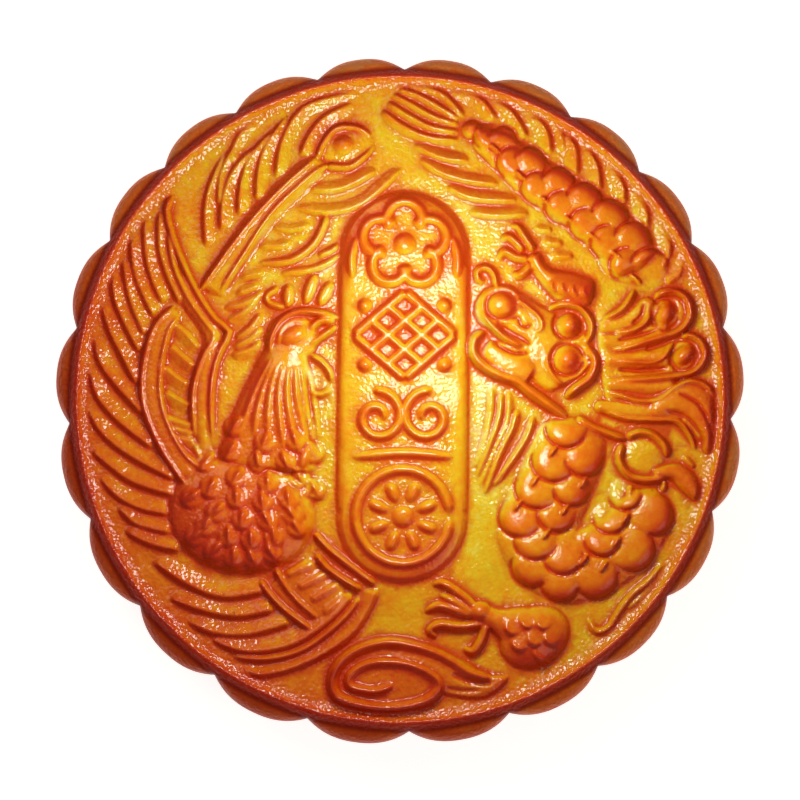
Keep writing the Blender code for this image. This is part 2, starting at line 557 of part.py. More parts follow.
def face_disc(table):
    """The pressed face as a fine disc out to the crease."""
    bm = bmesh.new()
    bmesh.ops.create_grid(bm, x_segments=FACE_CELLS, y_segments=FACE_CELLS, size=1)
    for vert in bm.verts:
        x, y = disc_place(vert.co.x, vert.co.y)
        x, y = x * CREASE_RADIUS, y * CREASE_RADIUS
        vert.co = (x * MM, y * MM, (FIELD_HEIGHT + read_height(table, x, y)) * MM)
    bmesh.ops.triangulate(bm, faces=bm.faces)
    mesh = bpy.data.meshes.new("face")
    bm.to_mesh(mesh)
    bm.free()
    return mesh


def thinned(mesh, collection):
    """The same disc with far fewer triangles, which keep to the relief."""
    face = bpy.data.objects.new("face", mesh)
    collection.objects.link(face)
    thin = face.modifiers.new("Thin", "DECIMATE")
    thin.ratio = FACE_COUNT / len(mesh.polygons)
    graph = bpy.context.evaluated_depsgraph_get()
    result = bpy.data.meshes.new_from_object(face.evaluated_get(graph))
    bpy.data.objects.remove(face)
    bpy.data.meshes.remove(mesh)
    return result


def add_wall(bm):
    """Carry the face's edge down the petalled wall to the flat base."""
    face_edge = [edge for edge in bm.edges if edge.is_boundary]
    angles, bulge = petal_ring()
    above = None
    for z, notch, depth in wall_rings():
        radii = notch + depth * bulge
        ring = [bm.verts.new((r * math.cos(a) * MM, r * math.sin(a) * MM, z * MM))
                for a, r in zip(angles, radii)]
        pairs = list(zip(ring, ring[1:] + ring[:1]))
        if above is None:
            top = [bm.edges.new(pair) for pair in pairs]
            bmesh.ops.bridge_loops(bm, edges=face_edge + top)
        else:
            for (a, b), (c, d) in zip(above, pairs):
                bm.faces.new((a, b, d, c))
        above = pairs
    bm.faces.new([pair[0] for pair in above])


def finish_solid(mesh):
    """Close the thinned face into one solid, centred on its axis."""
    bm = bmesh.new()
    bm.from_mesh(mesh)
    add_wall(bm)
    bmesh.ops.triangulate(bm, faces=bm.faces)
    bmesh.ops.recalc_face_normals(bm, faces=bm.faces)
    for axis in (0, 1):
        places = [vert.co[axis] for vert in bm.verts]
        middle = (min(places) + max(places)) / 2
        for vert in bm.verts:
            vert.co[axis] -= middle
    bm.to_mesh(mesh)
    bm.free()


def crust_material():
    """Egg-washed crust, golden brown."""
    material = bpy.data.materials.new("baked_crust")
    material.use_nodes = True
    shader = material.node_tree.nodes["Principled BSDF"]
    shader.inputs["Base Color"].default_value = (0.52, 0.17, 0.025, 1.0)
    shader.inputs["Roughness"].default_value = 0.35
    shader.inputs["Metallic"].default_value = 0.0
    material.diffuse_color = (0.52, 0.17, 0.025, 1.0)
    return material


def main():
    for item in list(bpy.data.objects):
        bpy.data.objects.remove(item)
    collection = bpy.data.collections.new("mooncake_parts")
    bpy.context.scene.collection.children.link(collection)
    mesh = thinned(face_disc(pressed_face()), collection)
    finish_solid(mesh)
    mesh.name = "mooncake"
    mesh.materials.append(crust_material())
    mesh.shade_smooth()
    mesh.set_sharp_from_angle(angle=math.radians(50))
    cake = bpy.data.objects.new("mooncake", mesh)
    collection.objects.link(cake)
    size = [round(v / MM, 2) for v in cake.dimensions]
    print("mooncake", len(mesh.polygons), "triangles, size in mm", size)


main()
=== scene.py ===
# %% [markdown]
# # A large pressed mooncake
# A mooncake of this kind is one lump of paste in a thin syrup dough. It is
# pressed in a carved mould, knocked out, brushed with egg and baked. So the
# shape has two sources: the mould's petalled wall, and the carving in its
# floor, which the dough takes up the other way round as raised relief.
# We work the same way. Small node trees carve the lines, feathers and scales,
# a "press" tree lays a fine sheet over the carving, and a last tree builds the
# petalled cake and takes its face from that sheet.

# %% Load the measured model
import math

import bpy
import numpy as np
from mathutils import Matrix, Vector


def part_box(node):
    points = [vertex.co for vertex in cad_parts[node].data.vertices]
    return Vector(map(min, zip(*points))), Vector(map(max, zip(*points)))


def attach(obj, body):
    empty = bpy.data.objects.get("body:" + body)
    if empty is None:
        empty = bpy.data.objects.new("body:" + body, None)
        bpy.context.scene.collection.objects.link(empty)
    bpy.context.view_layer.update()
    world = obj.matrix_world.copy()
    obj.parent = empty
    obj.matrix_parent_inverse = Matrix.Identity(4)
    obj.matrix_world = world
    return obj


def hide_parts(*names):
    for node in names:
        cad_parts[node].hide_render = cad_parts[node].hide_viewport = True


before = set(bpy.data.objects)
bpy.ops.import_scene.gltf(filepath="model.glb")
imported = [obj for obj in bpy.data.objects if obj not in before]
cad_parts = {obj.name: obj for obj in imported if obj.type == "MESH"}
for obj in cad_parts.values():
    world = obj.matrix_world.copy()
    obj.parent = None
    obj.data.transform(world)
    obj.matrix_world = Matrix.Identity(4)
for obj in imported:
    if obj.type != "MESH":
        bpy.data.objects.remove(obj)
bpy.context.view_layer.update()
solid_low, solid_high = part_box("mooncake")
MM = 0.001
print("solid from", [round(v / MM, 1) for v in solid_low],
      "to", [round(v / MM, 1) for v in solid_high])

# %% [markdown]
# ## Camera, floor and light
# The cake is looked at from straight above, with a long lens from some way
# off so that the wall hardly shows, leaning very slightly to the near side.
# A small soft lamp stands low over the middle of the face: every slope that
# looks inwards then catches it, and every slope that looks outwards falls into
# shade, which is what makes shallow relief readable. Two broad, warmer lamps
# higher up and a dim room light keep the shade open, and the floor glows a
# little, so that it stays pale.

# %% Camera
LOOK_AT = (0.0, 0.0, 0.026)
LOOK_FROM = 0.80                 # distance in metres
LEAN = math.radians(3.0)         # from straight above
FRAME_WIDTH = 0.1745             # width of the view at the cake


def on_stage(name, data):
    """A new object in the scene."""
    thing = bpy.data.objects.new(name, data)
    bpy.context.scene.collection.objects.link(thing)
    return thing


eye = on_stage("camera", bpy.data.cameras.new("camera"))
eye.location = (LOOK_AT[0], LOOK_AT[1] - LOOK_FROM * math.sin(LEAN),
                LOOK_AT[2] + LOOK_FROM * math.cos(LEAN))
eye.rotation_euler = (LEAN, 0, 0)
eye.data.angle = 2 * math.atan(FRAME_WIDTH / 2 / LOOK_FROM)
eye.data.clip_start = 0.01
bpy.context.scene.camera = eye
bpy.context.scene.view_settings.view_transform = "Standard"    # plain sRGB keeps the golds full
print("view angle", round(math.degrees(eye.data.angle), 2), "degrees")

# %% Lamps
LAMP_AIM = (0, 0, 0.03)
NEUTRAL, WARM = (1.0, 0.98, 0.94), (1.0, 0.92, 0.78)


def lamp(name, kind, place, size, power, colour):
    """A soft lamp: a glowing ball, or a round panel that faces the cake."""
    light = bpy.data.lights.new(name, kind)
    light.energy = power
    light.color = colour
    if kind == "AREA":
        light.shape = "DISK"
        light.size = size
    else:
        light.shadow_soft_size = size
    holder = on_stage(name, light)
    holder.location = place
    way = Vector(LAMP_AIM) - Vector(place)
    holder.rotation_euler = way.to_track_quat("-Z", "Y").to_euler()
    holder.visible_camera = False


def set_inputs(node, values):
    """Plain values for some of a node's inputs."""
    for label, value in values.items():
        node.inputs[label].default_value = value


lamp("low_centre_lamp", "POINT", (0.006, 0.018, 0.105), 0.017, 0.268, NEUTRAL)
lamp("broad_top_lamp", "AREA", (-0.25, 0.35, 0.75), 0.5, 1.3, WARM)
lamp("broad_side_lamp", "AREA", (0.45, -0.35, 0.6), 0.5, 0.75, WARM)
room = bpy.data.worlds.new("room")
bpy.context.scene.world = room
room.use_nodes = True
set_inputs(room.node_tree.nodes["Background"], {"Color": (1, 0.97, 0.9, 1), "Strength": 0.18})

# %% Floor
FLOOR_HALF = 3.0
FLOOR_DROP = 0.0003              # a hair under the cake, so that the two never share a plane

floor_mesh = bpy.data.meshes.new("floor")
corners = [(FLOOR_HALF * x, FLOOR_HALF * y, 0) for x, y in ((-1, -1), (1, -1), (1, 1), (-1, 1))]
floor_mesh.from_pydata(corners, [], [(0, 1, 2, 3)])
floor = on_stage("floor", floor_mesh)
floor.location.z = -FLOOR_DROP
paper = bpy.data.materials.new("pale_floor")
paper.use_nodes = True
set_inputs(paper.node_tree.nodes["Principled BSDF"], {
    "Base Color": (0.92, 0.92, 0.92, 1), "Roughness": 0.9, "Specular IOR Level": 0.1,
    "Emission Color": (1, 1, 1, 1), "Emission Strength": 0.80})
floor_mesh.materials.append(paper)
print("floor, 3 lamps and room light set")

# %% [markdown]
# ## A bench for node trees
# Geometry Nodes are drawn by hand in the editor, but a script can place the
# same nodes. Three small helpers do so. `add_node` adds a node and wires its
# inputs in one call. A `Wire` is a value on its way from one node to another,
# and plain arithmetic on it adds the math nodes. A `Bench` is a tree with
# named inputs, which always ends in Realize Instances and Set Material, so
# that what leaves the tree is plain mesh.


# %% Wires
def add_node(tree, kind, inputs=None, **settings):
    """Add a node; its inputs are plain values, wires or other nodes' outputs."""
    node = tree.nodes.new(kind)
    for name, value in settings.items():
        setattr(node, name, value)
    for place, value in (inputs or {}).items():
        value = getattr(value, "socket", value)
        if isinstance(value, bpy.types.NodeSocket):
            tree.links.new(value, node.inputs[place])
        else:
            node.inputs[place].default_value = value
    return node


def arithmetic(operation, swapped=False, **settings):
    """A method of a wire that adds one math node of the wire's own kind."""
    def method(self, other=0.0):
        kind = "ShaderNodeVectorMath" if self.socket.type == "VECTOR" else "ShaderNodeMath"
        a, b = (other, self) if swapped else (self, other)
        node = add_node(self.tree, kind, {0: a, 1: b}, operation=operation, **settings)
        return Wire(self.tree, node.outputs[0])
    return method


class Wire:
    """A number or vector on its way between nodes."""

    def __init__(self, tree, socket):
        self.tree, self.socket = tree, socket

    __add__ = __radd__ = arithmetic("ADD")
    __mul__ = __rmul__ = arithmetic("MULTIPLY")
    __sub__, __rsub__ = arithmetic("SUBTRACT"), arithmetic("SUBTRACT", swapped=True)
    __truediv__, __pow__ = arithmetic("DIVIDE"), arithmetic("POWER")
    __abs__, floor, fraction = arithmetic("ABSOLUTE"), arithmetic("FLOOR"), arithmetic("FRACT")
    sqrt, sin, cos = arithmetic("SQRT"), arithmetic("SINE"), arithmetic("COSINE")
    radians, degrees = arithmetic("RADIANS"), arithmetic("DEGREES")
    at_least, at_most = arithmetic("MAXIMUM"), arithmetic("MINIMUM")
    above = arithmetic("GREATER_THAN")
    clip = arithmetic("ADD", use_clamp=True)     # held between 0 and 1

    def grow(self, factor):
        """A vector made longer."""
        node = add_node(self.tree, "ShaderNodeVectorMath", {"Vector": self, "Scale": factor},
                        operation="SCALE")
        return Wire(self.tree, node.outputs[0])


# %% Bench
SPLINE_RESOLUTION = 12
RAY_START, RAY_LENGTH = 20.0, 40.0           # rays fall from above every carving


class Bench:
    """A geometry tree being wired up."""

    def __init__(self, name, inputs):
        self.tree = bpy.data.node_groups.new(name, "GeometryNodeTree")
        sides = self.tree.interface
        sides.new_socket("Geometry", in_out="OUTPUT", socket_type="NodeSocketGeometry")
        for label, kind, *value in (*inputs, ("Material", "Material")):
            socket = sides.new_socket(label, in_out="INPUT", socket_type="NodeSocket" + kind)
            if value:
                socket.default_value = value[0]
        self.entry = self.tree.nodes.new("NodeGroupInput")

    def __getitem__(self, label):
        return Wire(self.tree, self.entry.outputs[label])

    def get(self, kind, inputs=None, output=0, **settings):
        """Add a node and take one of its outputs."""
        return Wire(self.tree, add_node(self.tree, kind, inputs, **settings).outputs[output])

    def join(self, x, y, z):
        return self.get("ShaderNodeCombineXYZ", {"X": x, "Y": y, "Z": z})

    def split(self, vector):
        node = add_node(self.tree, "ShaderNodeSeparateXYZ", {0: vector})
        return [Wire(self.tree, socket) for socket in node.outputs]

    def named(self, name):
        """A number stored on the points under a name."""
        return self.get("GeometryNodeInputNamedAttribute", {"Name": name}, data_type="FLOAT")

    def store(self, geometry, name, value):
        return self.get("GeometryNodeStoreNamedAttribute",
                        {"Geometry": geometry, "Name": name, "Value": value},
                        data_type="FLOAT", domain="POINT")

    def keep(self, geometry, *fields):
        """Capture (kind, value) fields, so that they survive the next nodes."""
        node = add_node(self.tree, "GeometryNodeCaptureAttribute", {"Geometry": geometry},
                        domain="POINT")
        for number, (kind, value) in enumerate(fields, 1):
            node.capture_items.new(kind, "field")
            self.tree.links.new(value.socket, node.inputs[number])
        return [Wire(self.tree, node.outputs[k]) for k in range(len(fields) + 1)]

    def smooth_curve(self, geometry, count):
        """Chains of points made into even soft curves."""
        curve = self.get("GeometryNodeMeshToCurve", {"Mesh": geometry})
        curve = self.get("GeometryNodeCurveSplineType", {"Curve": curve},
                         spline_type="CATMULL_ROM")
        curve = self.get("GeometryNodeSetSplineResolution",
                         {"Geometry": curve, "Resolution": SPLINE_RESOLUTION})
        return self.get("GeometryNodeResampleCurve", {"Curve": curve, "Count": count})

    def look_down(self, carving, start):
        """Rays straight down on a carving: the heights they meet, and whether they do."""
        ray = add_node(self.tree, "GeometryNodeRaycast", {
            "Target Geometry": carving, "Source Position": start,
            "Ray Direction": (0, 0, -1.0), "Ray Length": RAY_LENGTH})
        return (self.split(ray.outputs["Hit Position"])[2],
                Wire(self.tree, ray.outputs["Is Hit"]))

    def done(self, geometry):
        """Realize, set the material, and close the tree."""
        plain = self.get("GeometryNodeRealizeInstances", {"Geometry": geometry})
        last = self.get("GeometryNodeSetMaterial",
                        {"Geometry": plain, "Material": self["Material"]})
        add_node(self.tree, "NodeGroupOutput", {0: last})
        print(self.tree.name, "has", len(self.tree.nodes), "nodes")
        return self.tree


crust = bpy.data.materials.new("egg_washed_crust")
crust.use_nodes = True

# %% [markdown]
# ## Carved lines
# Quills, barbs, toes, jaws and bodies are all one thing to a mould carver: a
# gouge that follows a line, wider or narrower, deeper or shallower, round or
# sharp. One tree covers them. It takes chains of points that carry their own
# half widths and height, softens them into curves, sweeps a flat strip along,
# and lifts the strip's middle into a ridge. A sweep with a real profile would
# twist and swell in tight curls. A strip that is placed sideways from the
# curve can't, and only the top side is ever pressed against.


# %% Carved line tree
def line_tree():
    bench = Bench("carved_line", [
        ("Chains", "Geometry"), ("Steps", "Int", 30), ("Facets", "Int", 7),
        ("Roundness", "Float", 2.0), ("Fullness", "Float", 0.7)])
    curve = bench.smooth_curve(bench["Chains"], bench["Steps"])
    place = bench.get("GeometryNodeInputPosition")
    curve, middle, tangent, along = bench.keep(
        curve, ("VECTOR", place), ("VECTOR", bench.get("GeometryNodeInputTangent")),
        ("FLOAT", bench.get("GeometryNodeSplineParameter", output="Factor")))
    strip = bench.get("GeometryNodeCurvePrimitiveLine", {"Start": (-1, 0, 0), "End": (1, 0, 0)})
    strip = bench.get("GeometryNodeResampleCurve", {"Curve": strip, "Count": bench["Facets"]})
    strip, across = bench.keep(strip, ("FLOAT", bench.split(place)[0]))
    swept = bench.get("GeometryNodeCurveToMesh", {"Curve": curve, "Profile Curve": strip})

    def end_taper(distance, share):
        rest = 1 - (distance / share.at_least(0.0001)).clip()
        return (1 - rest * rest).sqrt()

    taper = end_taper(along, bench.named("first"))
    taper = taper.at_most(end_taper(1 - along, bench.named("last")))
    on_left = across.above(0.0)
    reach = on_left * bench.named("left") + (1 - on_left) * bench.named("right")
    way_x, way_y, _ = bench.split(tangent)
    offset = bench.join(way_y * -1.0, way_x, 0.0).grow(across * (reach * taper))
    bow = (1 - abs(across) ** bench["Roundness"]).clip() ** bench["Fullness"]
    spot = middle + offset + bench.join(0.0, 0.0, bench.named("rise") * taper * bow)
    return bench.done(bench.get("GeometryNodeSetPosition", {"Geometry": swept, "Position": spot}))


LINE_TREE = line_tree()

# %% [markdown]
# ## Feathers
# The barbs of a wing change step by step: each is a little longer and a little
# more bent than the one before. A maker draws a few of them and fills in the
# rest. This tree does so: a few guide lines go in, a count of barbs comes out,
# each mixed from its two nearest guides, and the carved line tree cuts them.


# %% Feather tree
def feather_tree():
    bench = Bench("feather", [
        ("Guides", "Geometry"), ("Barbs", "Int", 6), ("Steps", "Int", 24),
        ("Left", "Float", 1.0), ("Right", "Float", 2.0), ("Rise", "Float", 1.0),
        ("First", "Float", 0.2), ("Last", "Float", 0.2)])
    guides = bench.smooth_curve(bench["Guides"], 12)
    last_guide = bench.get("GeometryNodeAttributeDomainSize", {"Geometry": guides},
                           output="Spline Count", component="CURVE") - 1
    index = bench.get("GeometryNodeInputIndex")
    chain = bench.get("GeometryNodeMeshLine", {"Count": bench["Steps"], "Offset": (0, 0, 0.01)})
    chain, step = bench.keep(chain, ("FLOAT", index / (bench["Steps"] - 1)))
    roots = bench.get("GeometryNodeMeshLine", {"Count": bench["Barbs"], "Offset": (0.01, 0, 0)})
    roots, turn = bench.keep(roots, ("FLOAT", index / (bench["Barbs"] - 1)))
    barbs = bench.get("GeometryNodeInstanceOnPoints", {"Points": roots, "Instance": chain})
    barbs = bench.get("GeometryNodeRealizeInstances", {"Geometry": barbs})
    place = turn * last_guide
    low = place.at_most(last_guide - 0.5).floor()

    def on_guide(number):
        return bench.get("GeometryNodeSampleCurve",
                         {"Curves": guides, "Factor": step, "Curve Index": number},
                         output="Position", mode="FACTOR", use_all_curves=False)

    first, second = on_guide(low), on_guide(low + 1.0)
    spot = first + (second - first).grow(place - low)
    barbs = bench.get("GeometryNodeSetPosition", {"Geometry": barbs, "Position": spot})
    for name in ("Left", "Right", "Rise", "First", "Last"):
        barbs = bench.store(barbs, name.lower(), bench[name])
    return bench.done(bench.get("GeometryNodeGroup", {
        "Chains": barbs, "Steps": bench["Steps"], "Roundness": 1.0, "Fullness": 1.0},
        node_tree=LINE_TREE))


FEATHER_TREE = feather_tree()

# %% [markdown]
# ## Stamps: domes and scales
# Eyes, knuckles and the bird's breast are domes. A scale is a disc that is
# thin at its root, rises to its round free edge and drops. Both are one unit
# shape that is set down at many points, turned and stretched, so one tree
# makes them all: its lean runs from 0 for a dome to 1 for a scale.


# %% Stamp tree
def stamp_tree():
    bench = Bench("stamp", [
        ("Points", "Geometry"), ("Roundness", "Float", 2.0), ("Fullness", "Float", 0.55),
        ("Lean", "Float", 0.0)])
    grid = bench.get("GeometryNodeMeshGrid", {
        "Size X": 1, "Size Y": 1, "Vertices X": 29, "Vertices Y": 8})
    around, out, _ = bench.split(bench.get("GeometryNodeInputPosition"))
    angle = (around + 0.5) * (2 * math.pi)
    radius = (out + 0.5).clip() ** 0.6
    x, y = radius * angle.cos(), radius * angle.sin()
    edge = (1 - radius ** bench["Roundness"]).clip() ** bench["Fullness"]
    lean = 1 + bench["Lean"] * (((x + 0.9) / 1.7).clip() - 1)
    unit = bench.get("GeometryNodeSetPosition", {
        "Geometry": grid, "Position": bench.join(x, y, edge * lean)})
    turn = bench.get("FunctionNodeEulerToRotation", {0: bench.join(0.0, 0.0, bench.named("turn"))})
    size = bench.join(bench.named("long"), bench.named("wide"), bench.named("rise"))
    return bench.done(bench.get("GeometryNodeInstanceOnPoints", {
        "Points": bench["Points"], "Instance": unit, "Rotation": turn, "Scale": size}))


STAMP_TREE = stamp_tree()


# %% Running a tree
def chain_mesh(chains):
    """Chains of points; every point carries the numbers given with its chain."""
    spots, edges, numbers = [], [], {}
    for points, given in chains:
        start = len(spots)
        spots += [(x, y, 0.0) for x, y in points]
        edges += [(start + k, start + k + 1) for k in range(len(points) - 1)]
        for key, value in given.items():
            values = np.broadcast_to(value, len(points)).astype(float)
            numbers.setdefault(key, []).extend(values.tolist())
    mesh = bpy.data.meshes.new("chains")
    mesh.from_pydata(spots, edges, [])
    for key, values in numbers.items():
        mesh.attributes.new(key, "FLOAT", "POINT").data.foreach_set("value", values)
    return mesh


def finished_mesh(holder):
    """An object's mesh as its one modifier leaves it, with the modifier taken off."""
    made = bpy.data.meshes.new_from_object(
        holder.evaluated_get(bpy.context.evaluated_depsgraph_get()))
    holder.modifiers.remove(holder.modifiers[0])
    return made


def run_tree(tree, mesh, name, **inputs):
    """Give a mesh to a tree, set its named inputs, and take the plain mesh it makes."""
    holder = on_stage(name, mesh)
    step = holder.modifiers.new("Nodes", "NODES")
    step.node_group = tree
    sockets = {item.name: item.identifier for item in tree.interface.items_tree
               if item.in_out == "INPUT"}
    step[sockets["Material"]] = crust
    for label, value in inputs.items():
        step[sockets[label]] = value
    made = finished_mesh(holder)
    bpy.data.objects.remove(holder)
    bpy.data.meshes.remove(mesh)
    made.name = name
    return made


def read(items, name, width=3, kind=np.float32):
    """One property of all points, corners or faces, as rows of a table."""
    values = np.empty(width * len(items), kind)
    items.foreach_get(name, values)
    return values.reshape(-1, width)


# %% [markdown]
# ## Drawing the relief
# All places are in millimetres from the cake's axis, +X to the right and +Y to
# the top of the panel. A drawing goes on one of four sheets. `form` holds the
# rounded bodies, `pile` what lies on top of them, such as scales, `line` what
# is drawn beside or over them, and `cut` what is taken away. Each sheet is
# pressed once, and the four are then put together.


# %% Drawing helpers
drawings = {}                    # (sheet, tree, its inputs) -> chains


def draw(sheet, tree, inputs, points, **numbers):
    drawings.setdefault((sheet, tree.name, tuple(inputs.items())), []).append((points, numbers))


def carve(points, left, right, rise, first, last, sheet, **inputs):
    """A line of two half widths, tapered over a share of its length at each end."""
    draw(sheet, LINE_TREE, inputs, points,
         left=left, right=right, rise=rise, first=first, last=last)


def stamp(x, y, long, wide, turn, rise, sheet, **inputs):
    """One stamp, turned by an angle in degrees."""
    draw(sheet, STAMP_TREE, inputs, [(x, y)],
         turn=math.radians(turn), long=long, wide=wide, rise=rise)


def ridge(points, width, rise, first=0.15, last=0.2, sheet="line"):
    """A round-backed line."""
    carve(points, width / 2, width / 2, rise, first, last, sheet, Roundness=2.0, Fullness=0.7)


def blade(points, left, right, rise, first=0.2, last=0.3, sheet="line"):
    """A sharp line with a flank of its own width on either side."""
    carve(points, left, right, rise, first, last, sheet, Roundness=1.0, Fullness=1.0)


def limb(points, halves, rise, fullness=0.55, first=0.06, last=0.06):
    """A rounded body whose half width changes from point to point."""
    halves = np.interp(np.linspace(0, 1, len(points)), np.linspace(0, 1, len(halves)), halves)
    carve(points, halves, halves, rise, first, last, "form",
          Facets=15, Roundness=2.0, Fullness=fullness)


def groove(points, width=1.5, depth=0.8):
    """A round-bottomed cut."""
    ridge(points, width, depth, 0.2, 0.2, "cut")


def dome(x, y, rx, ry, turn, rise, sheet="form", fullness=0.55):
    """A round or oval dome."""
    stamp(x, y, rx, ry, turn, rise, sheet, Fullness=fullness)


def scale(x, y, radius, turn, rise, squash=1.0):
    """One scale whose free edge points along a direction in degrees."""
    stamp(x, y, radius, radius * squash, turn, rise, "pile",
          Fullness=0.8, Lean=1.0, Roundness=6.0)


def away_from(x, y, distance, turn):
    """The point at a distance from another, along a direction in degrees."""
    turn = math.radians(turn)
    return x + distance * math.cos(turn), y + distance * math.sin(turn)


def leaf(x, y, length, half, turn, rise):
    """A pointed plate with a sharp keel, its middle at a place."""
    ends = [away_from(x, y, way * length / 2, turn) for way in (-1, 1)]
    blade([ends[0], (x, y), ends[1]], half, half, rise, 0.45, 0.55, "pile")


def plate(x, y, size, turn, rise, lip, width):
    """A scale with a raised lip along its free edge."""
    scale(x, y, size, turn, 0.8 * rise)
    inset = size - 0.42 * width
    ridge(arc(x, y, inset, inset, turn - 74, turn + 74, 9), width, rise + lip, 0.5, 0.5, "pile")


def bead(x, y, size, turn, rise=1.3):
    """A rounded scale, fullest at its free edge, over a narrow dark gap."""
    groove(arc(x, y, size * 1.02, size, turn - 85, turn + 85), 0.9, 0.5)
    stamp(x, y, size, size * 0.95, turn, rise, "pile", Fullness=0.5, Lean=0.9, Roundness=3.2)


def family(guides, count, left, right, rise=1.15, first=0.2, last=0.2, sheet="line"):
    """Blades that change step by step from guide to guide."""
    inputs = dict(Barbs=count, Left=left, Right=right, Rise=rise, First=first, Last=last,
                  Set=len(drawings))         # the set number keeps families apart
    for guide in guides:
        draw(sheet, FEATHER_TREE, inputs, guide)


def arc(x, y, rx, ry, start, stop, count=12):
    """Points on an ellipse between two angles in degrees."""
    turn = np.radians(np.linspace(start, stop, count))
    return list(zip(x + rx * np.cos(turn), y + ry * np.sin(turn)))


def between(one, other):
    """The line half way between two lines of as many points."""
    return [tuple(p) for p in (np.array(one) + np.array(other)) / 2]

# %% [markdown]
# ## The panel and its ornaments
# An upright panel with round ends divides the face. It is a flat tablet with a
# soft edge, and four plain ornaments stand on it, each drawn with strokes as
# wide as a mould carver's narrow gouge: a blossom, a lozenge lattice, a pair
# of curls, and a rayed flower in a ring.

# %% Panel
PANEL_RISE = 1.25
PANEL_HALF = 14.2
PANEL_LOW, PANEL_HIGH = (0.4, -26.0), (0.9, 31.0)    # centres of the round ends
STROKE_WIDTH = 2.3
STROKE_RISE = 0.95


def stroke(points, first=0.06, last=0.06, width=STROKE_WIDTH):
    """One line of an ornament, on top of the panel."""
    ridge(points, width, STROKE_RISE, first, last, "pile")


def blossom(x, y, petals, ring, petal_size, turn):
    """Round petals, open towards a small heart, between two leaves."""
    for k in range(petals):
        way = turn + 360 * k / petals
        px, py = away_from(x, y, ring, way)
        stroke(arc(px, py, petal_size, petal_size, way - 128, way + 128))
    dome(x, y, 2.3, 2.3, 0, STROKE_RISE, "pile")
    for way in (1, -1):
        stroke([(x + way * 11.2, y - 7.6), (x + way * 11.6, y - 3.0), (x + way * 10.4, y + 1.6)],
               0.4, 0.4)


def lattice(x, y, half, tall):
    """Crossed laths inside a lozenge, with a bead at each side."""
    for share in (-1, -1 / 3, 1 / 3, 1):
        for way in (1, -1):
            near = (x + half * (share - 1) / 2, y + way * tall * (share + 1) / 2)
            far = (x + half * (share + 1) / 2, y + way * tall * (share - 1) / 2)
            stroke([near, far], 0.04, 0.04, 2.0)
    for dx, dy in ((8.6, 6.4), (-8.6, 6.4), (8.6, -6.4), (-8.6, -6.4)):
        dome(x + dx, y + dy, 1.5, 1.5, 0, STROKE_RISE, "pile")


def curl_pair(x, y, reach):
    """Two curls back to back over a bowed line."""
    turn = np.linspace(0, 1, 22)
    away = reach * (1 - 0.82 * turn)
    angle = np.radians(100 - 500 * turn)
    for way in (1, -1):
        points = zip(x + way * (reach * 0.92 - away * np.cos(angle)), y + away * np.sin(angle))
        stroke(list(points), 0.03, 0.1, 2.0)
    stroke([(x - 11.2, y - 8.6), (x, y - 7.6), (x + 11.2, y - 8.6)], 0.3, 0.3)


def rayed_flower(x, y, ring, rays):
    """Short rays round a heart, inside a ring."""
    stroke(arc(x, y, ring, ring, 0, 360, 40), 0, 0)
    for k in range(rays):
        near, far = [away_from(x, y, r, 360 * (k + 0.5) / rays) for r in (3.4, ring - 2.4)]
        stroke([near, far], 0.5, 0.3, 2.6)
    dome(x, y, 2.3, 2.3, 0, STROKE_RISE, "pile")


blossom(1.0, 33.4, 5, 5.6, 3.8, 90)
lattice(1.0, 13.6, 11.0, 9.4)
curl_pair(0.6, -4.2, 6.0)
rayed_flower(0.6, -25.6, 10.2, 8)
print("panel drawn with", sum(len(v) for v in drawings.values()), "strokes")

# %% [markdown]
# ## The bird's feathers
# The long tail feather sweeps up to the left of the panel and ends in an eye.
# Barbs stand on both sides of it. The wing fills the left edge: long barbs
# fan from a curved band, and the lowest quills sweep round the foot of the
# face.


# %% Tail feather with its eye
upper = [(-43.5, 23), (-36.5, 33), (-30.5, 40.5), (-25, 46.2), (-20.5, 50.2), (-17.6, 52.6)]
lower = [(-39.3, 22.5), (-34.3, 30.5), (-28, 40), (-22, 46), (-17.5, 49.8), (-15, 50.8)]
ridge(between(upper, lower), 6.2, 0.9, 0, 0.1)
for edge in (upper, lower):
    ridge(edge, 1.6, 1.5, 0.1, 0.1)
ridge([(-18, 52), (-16.5, 55.5), (-13.8, 58.6), (-9.5, 58.8), (-6, 56.8)], 1.7, 1.4, 0.1, 0.4)
ridge([(-16, 50.6), (-11, 50.4), (-7.5, 52.8), (-5.6, 55.2)], 1.7, 1.4, 0.1, 0.4)
dome(-11.6, 54.7, 6.2, 4.0, 8, 0.9, "line")
dome(-12.2, 54.9, 2.5, 2.3, 0, 1.8, "line")
family([[(-21.5, 52.5), (-20, 56.5), (-16.5, 61), (-10, 64.3)],
        [(-26.8, 47.8), (-25.5, 56), (-20.5, 63.5), (-9, 66.9)]], 2, 0.9, 2.6, 1.1, 0.1, 0.35)
family([[(-31, 43), (-30.8, 49), (-29, 55), (-24.5, 61.5)],
        [(-38.8, 36.5), (-38.3, 44), (-35.5, 50.5), (-29.5, 56)]], 3, 0.9, 2.6, 1.1, 0.1, 0.35)
family([[(-36.8, 51), (-36, 55), (-33.5, 59), (-29, 62)],
        [(-42, 33), (-42.3, 41), (-41, 47), (-38, 53.5)]], 3, 0.8, 2.2, 0.95, 0.1, 0.35)
family([[(-19.5, 45.3), (-14, 45.3), (-9.5, 47), (-5, 49.6)],
        [(-23, 41.6), (-16, 40.4), (-8, 42.4), (0.5, 50)]], 2, 2.2, 0.9, 1.05, 0.3, 0.2)
family([[(-27.5, 37), (-25, 36.6), (-22, 36.8), (-19.5, 37.8)],
        [(-30.5, 33), (-28, 32.9), (-26, 33), (-23.5, 33.8)]], 2, 1.5, 0.8, 0.8, 0.3, 0.2)
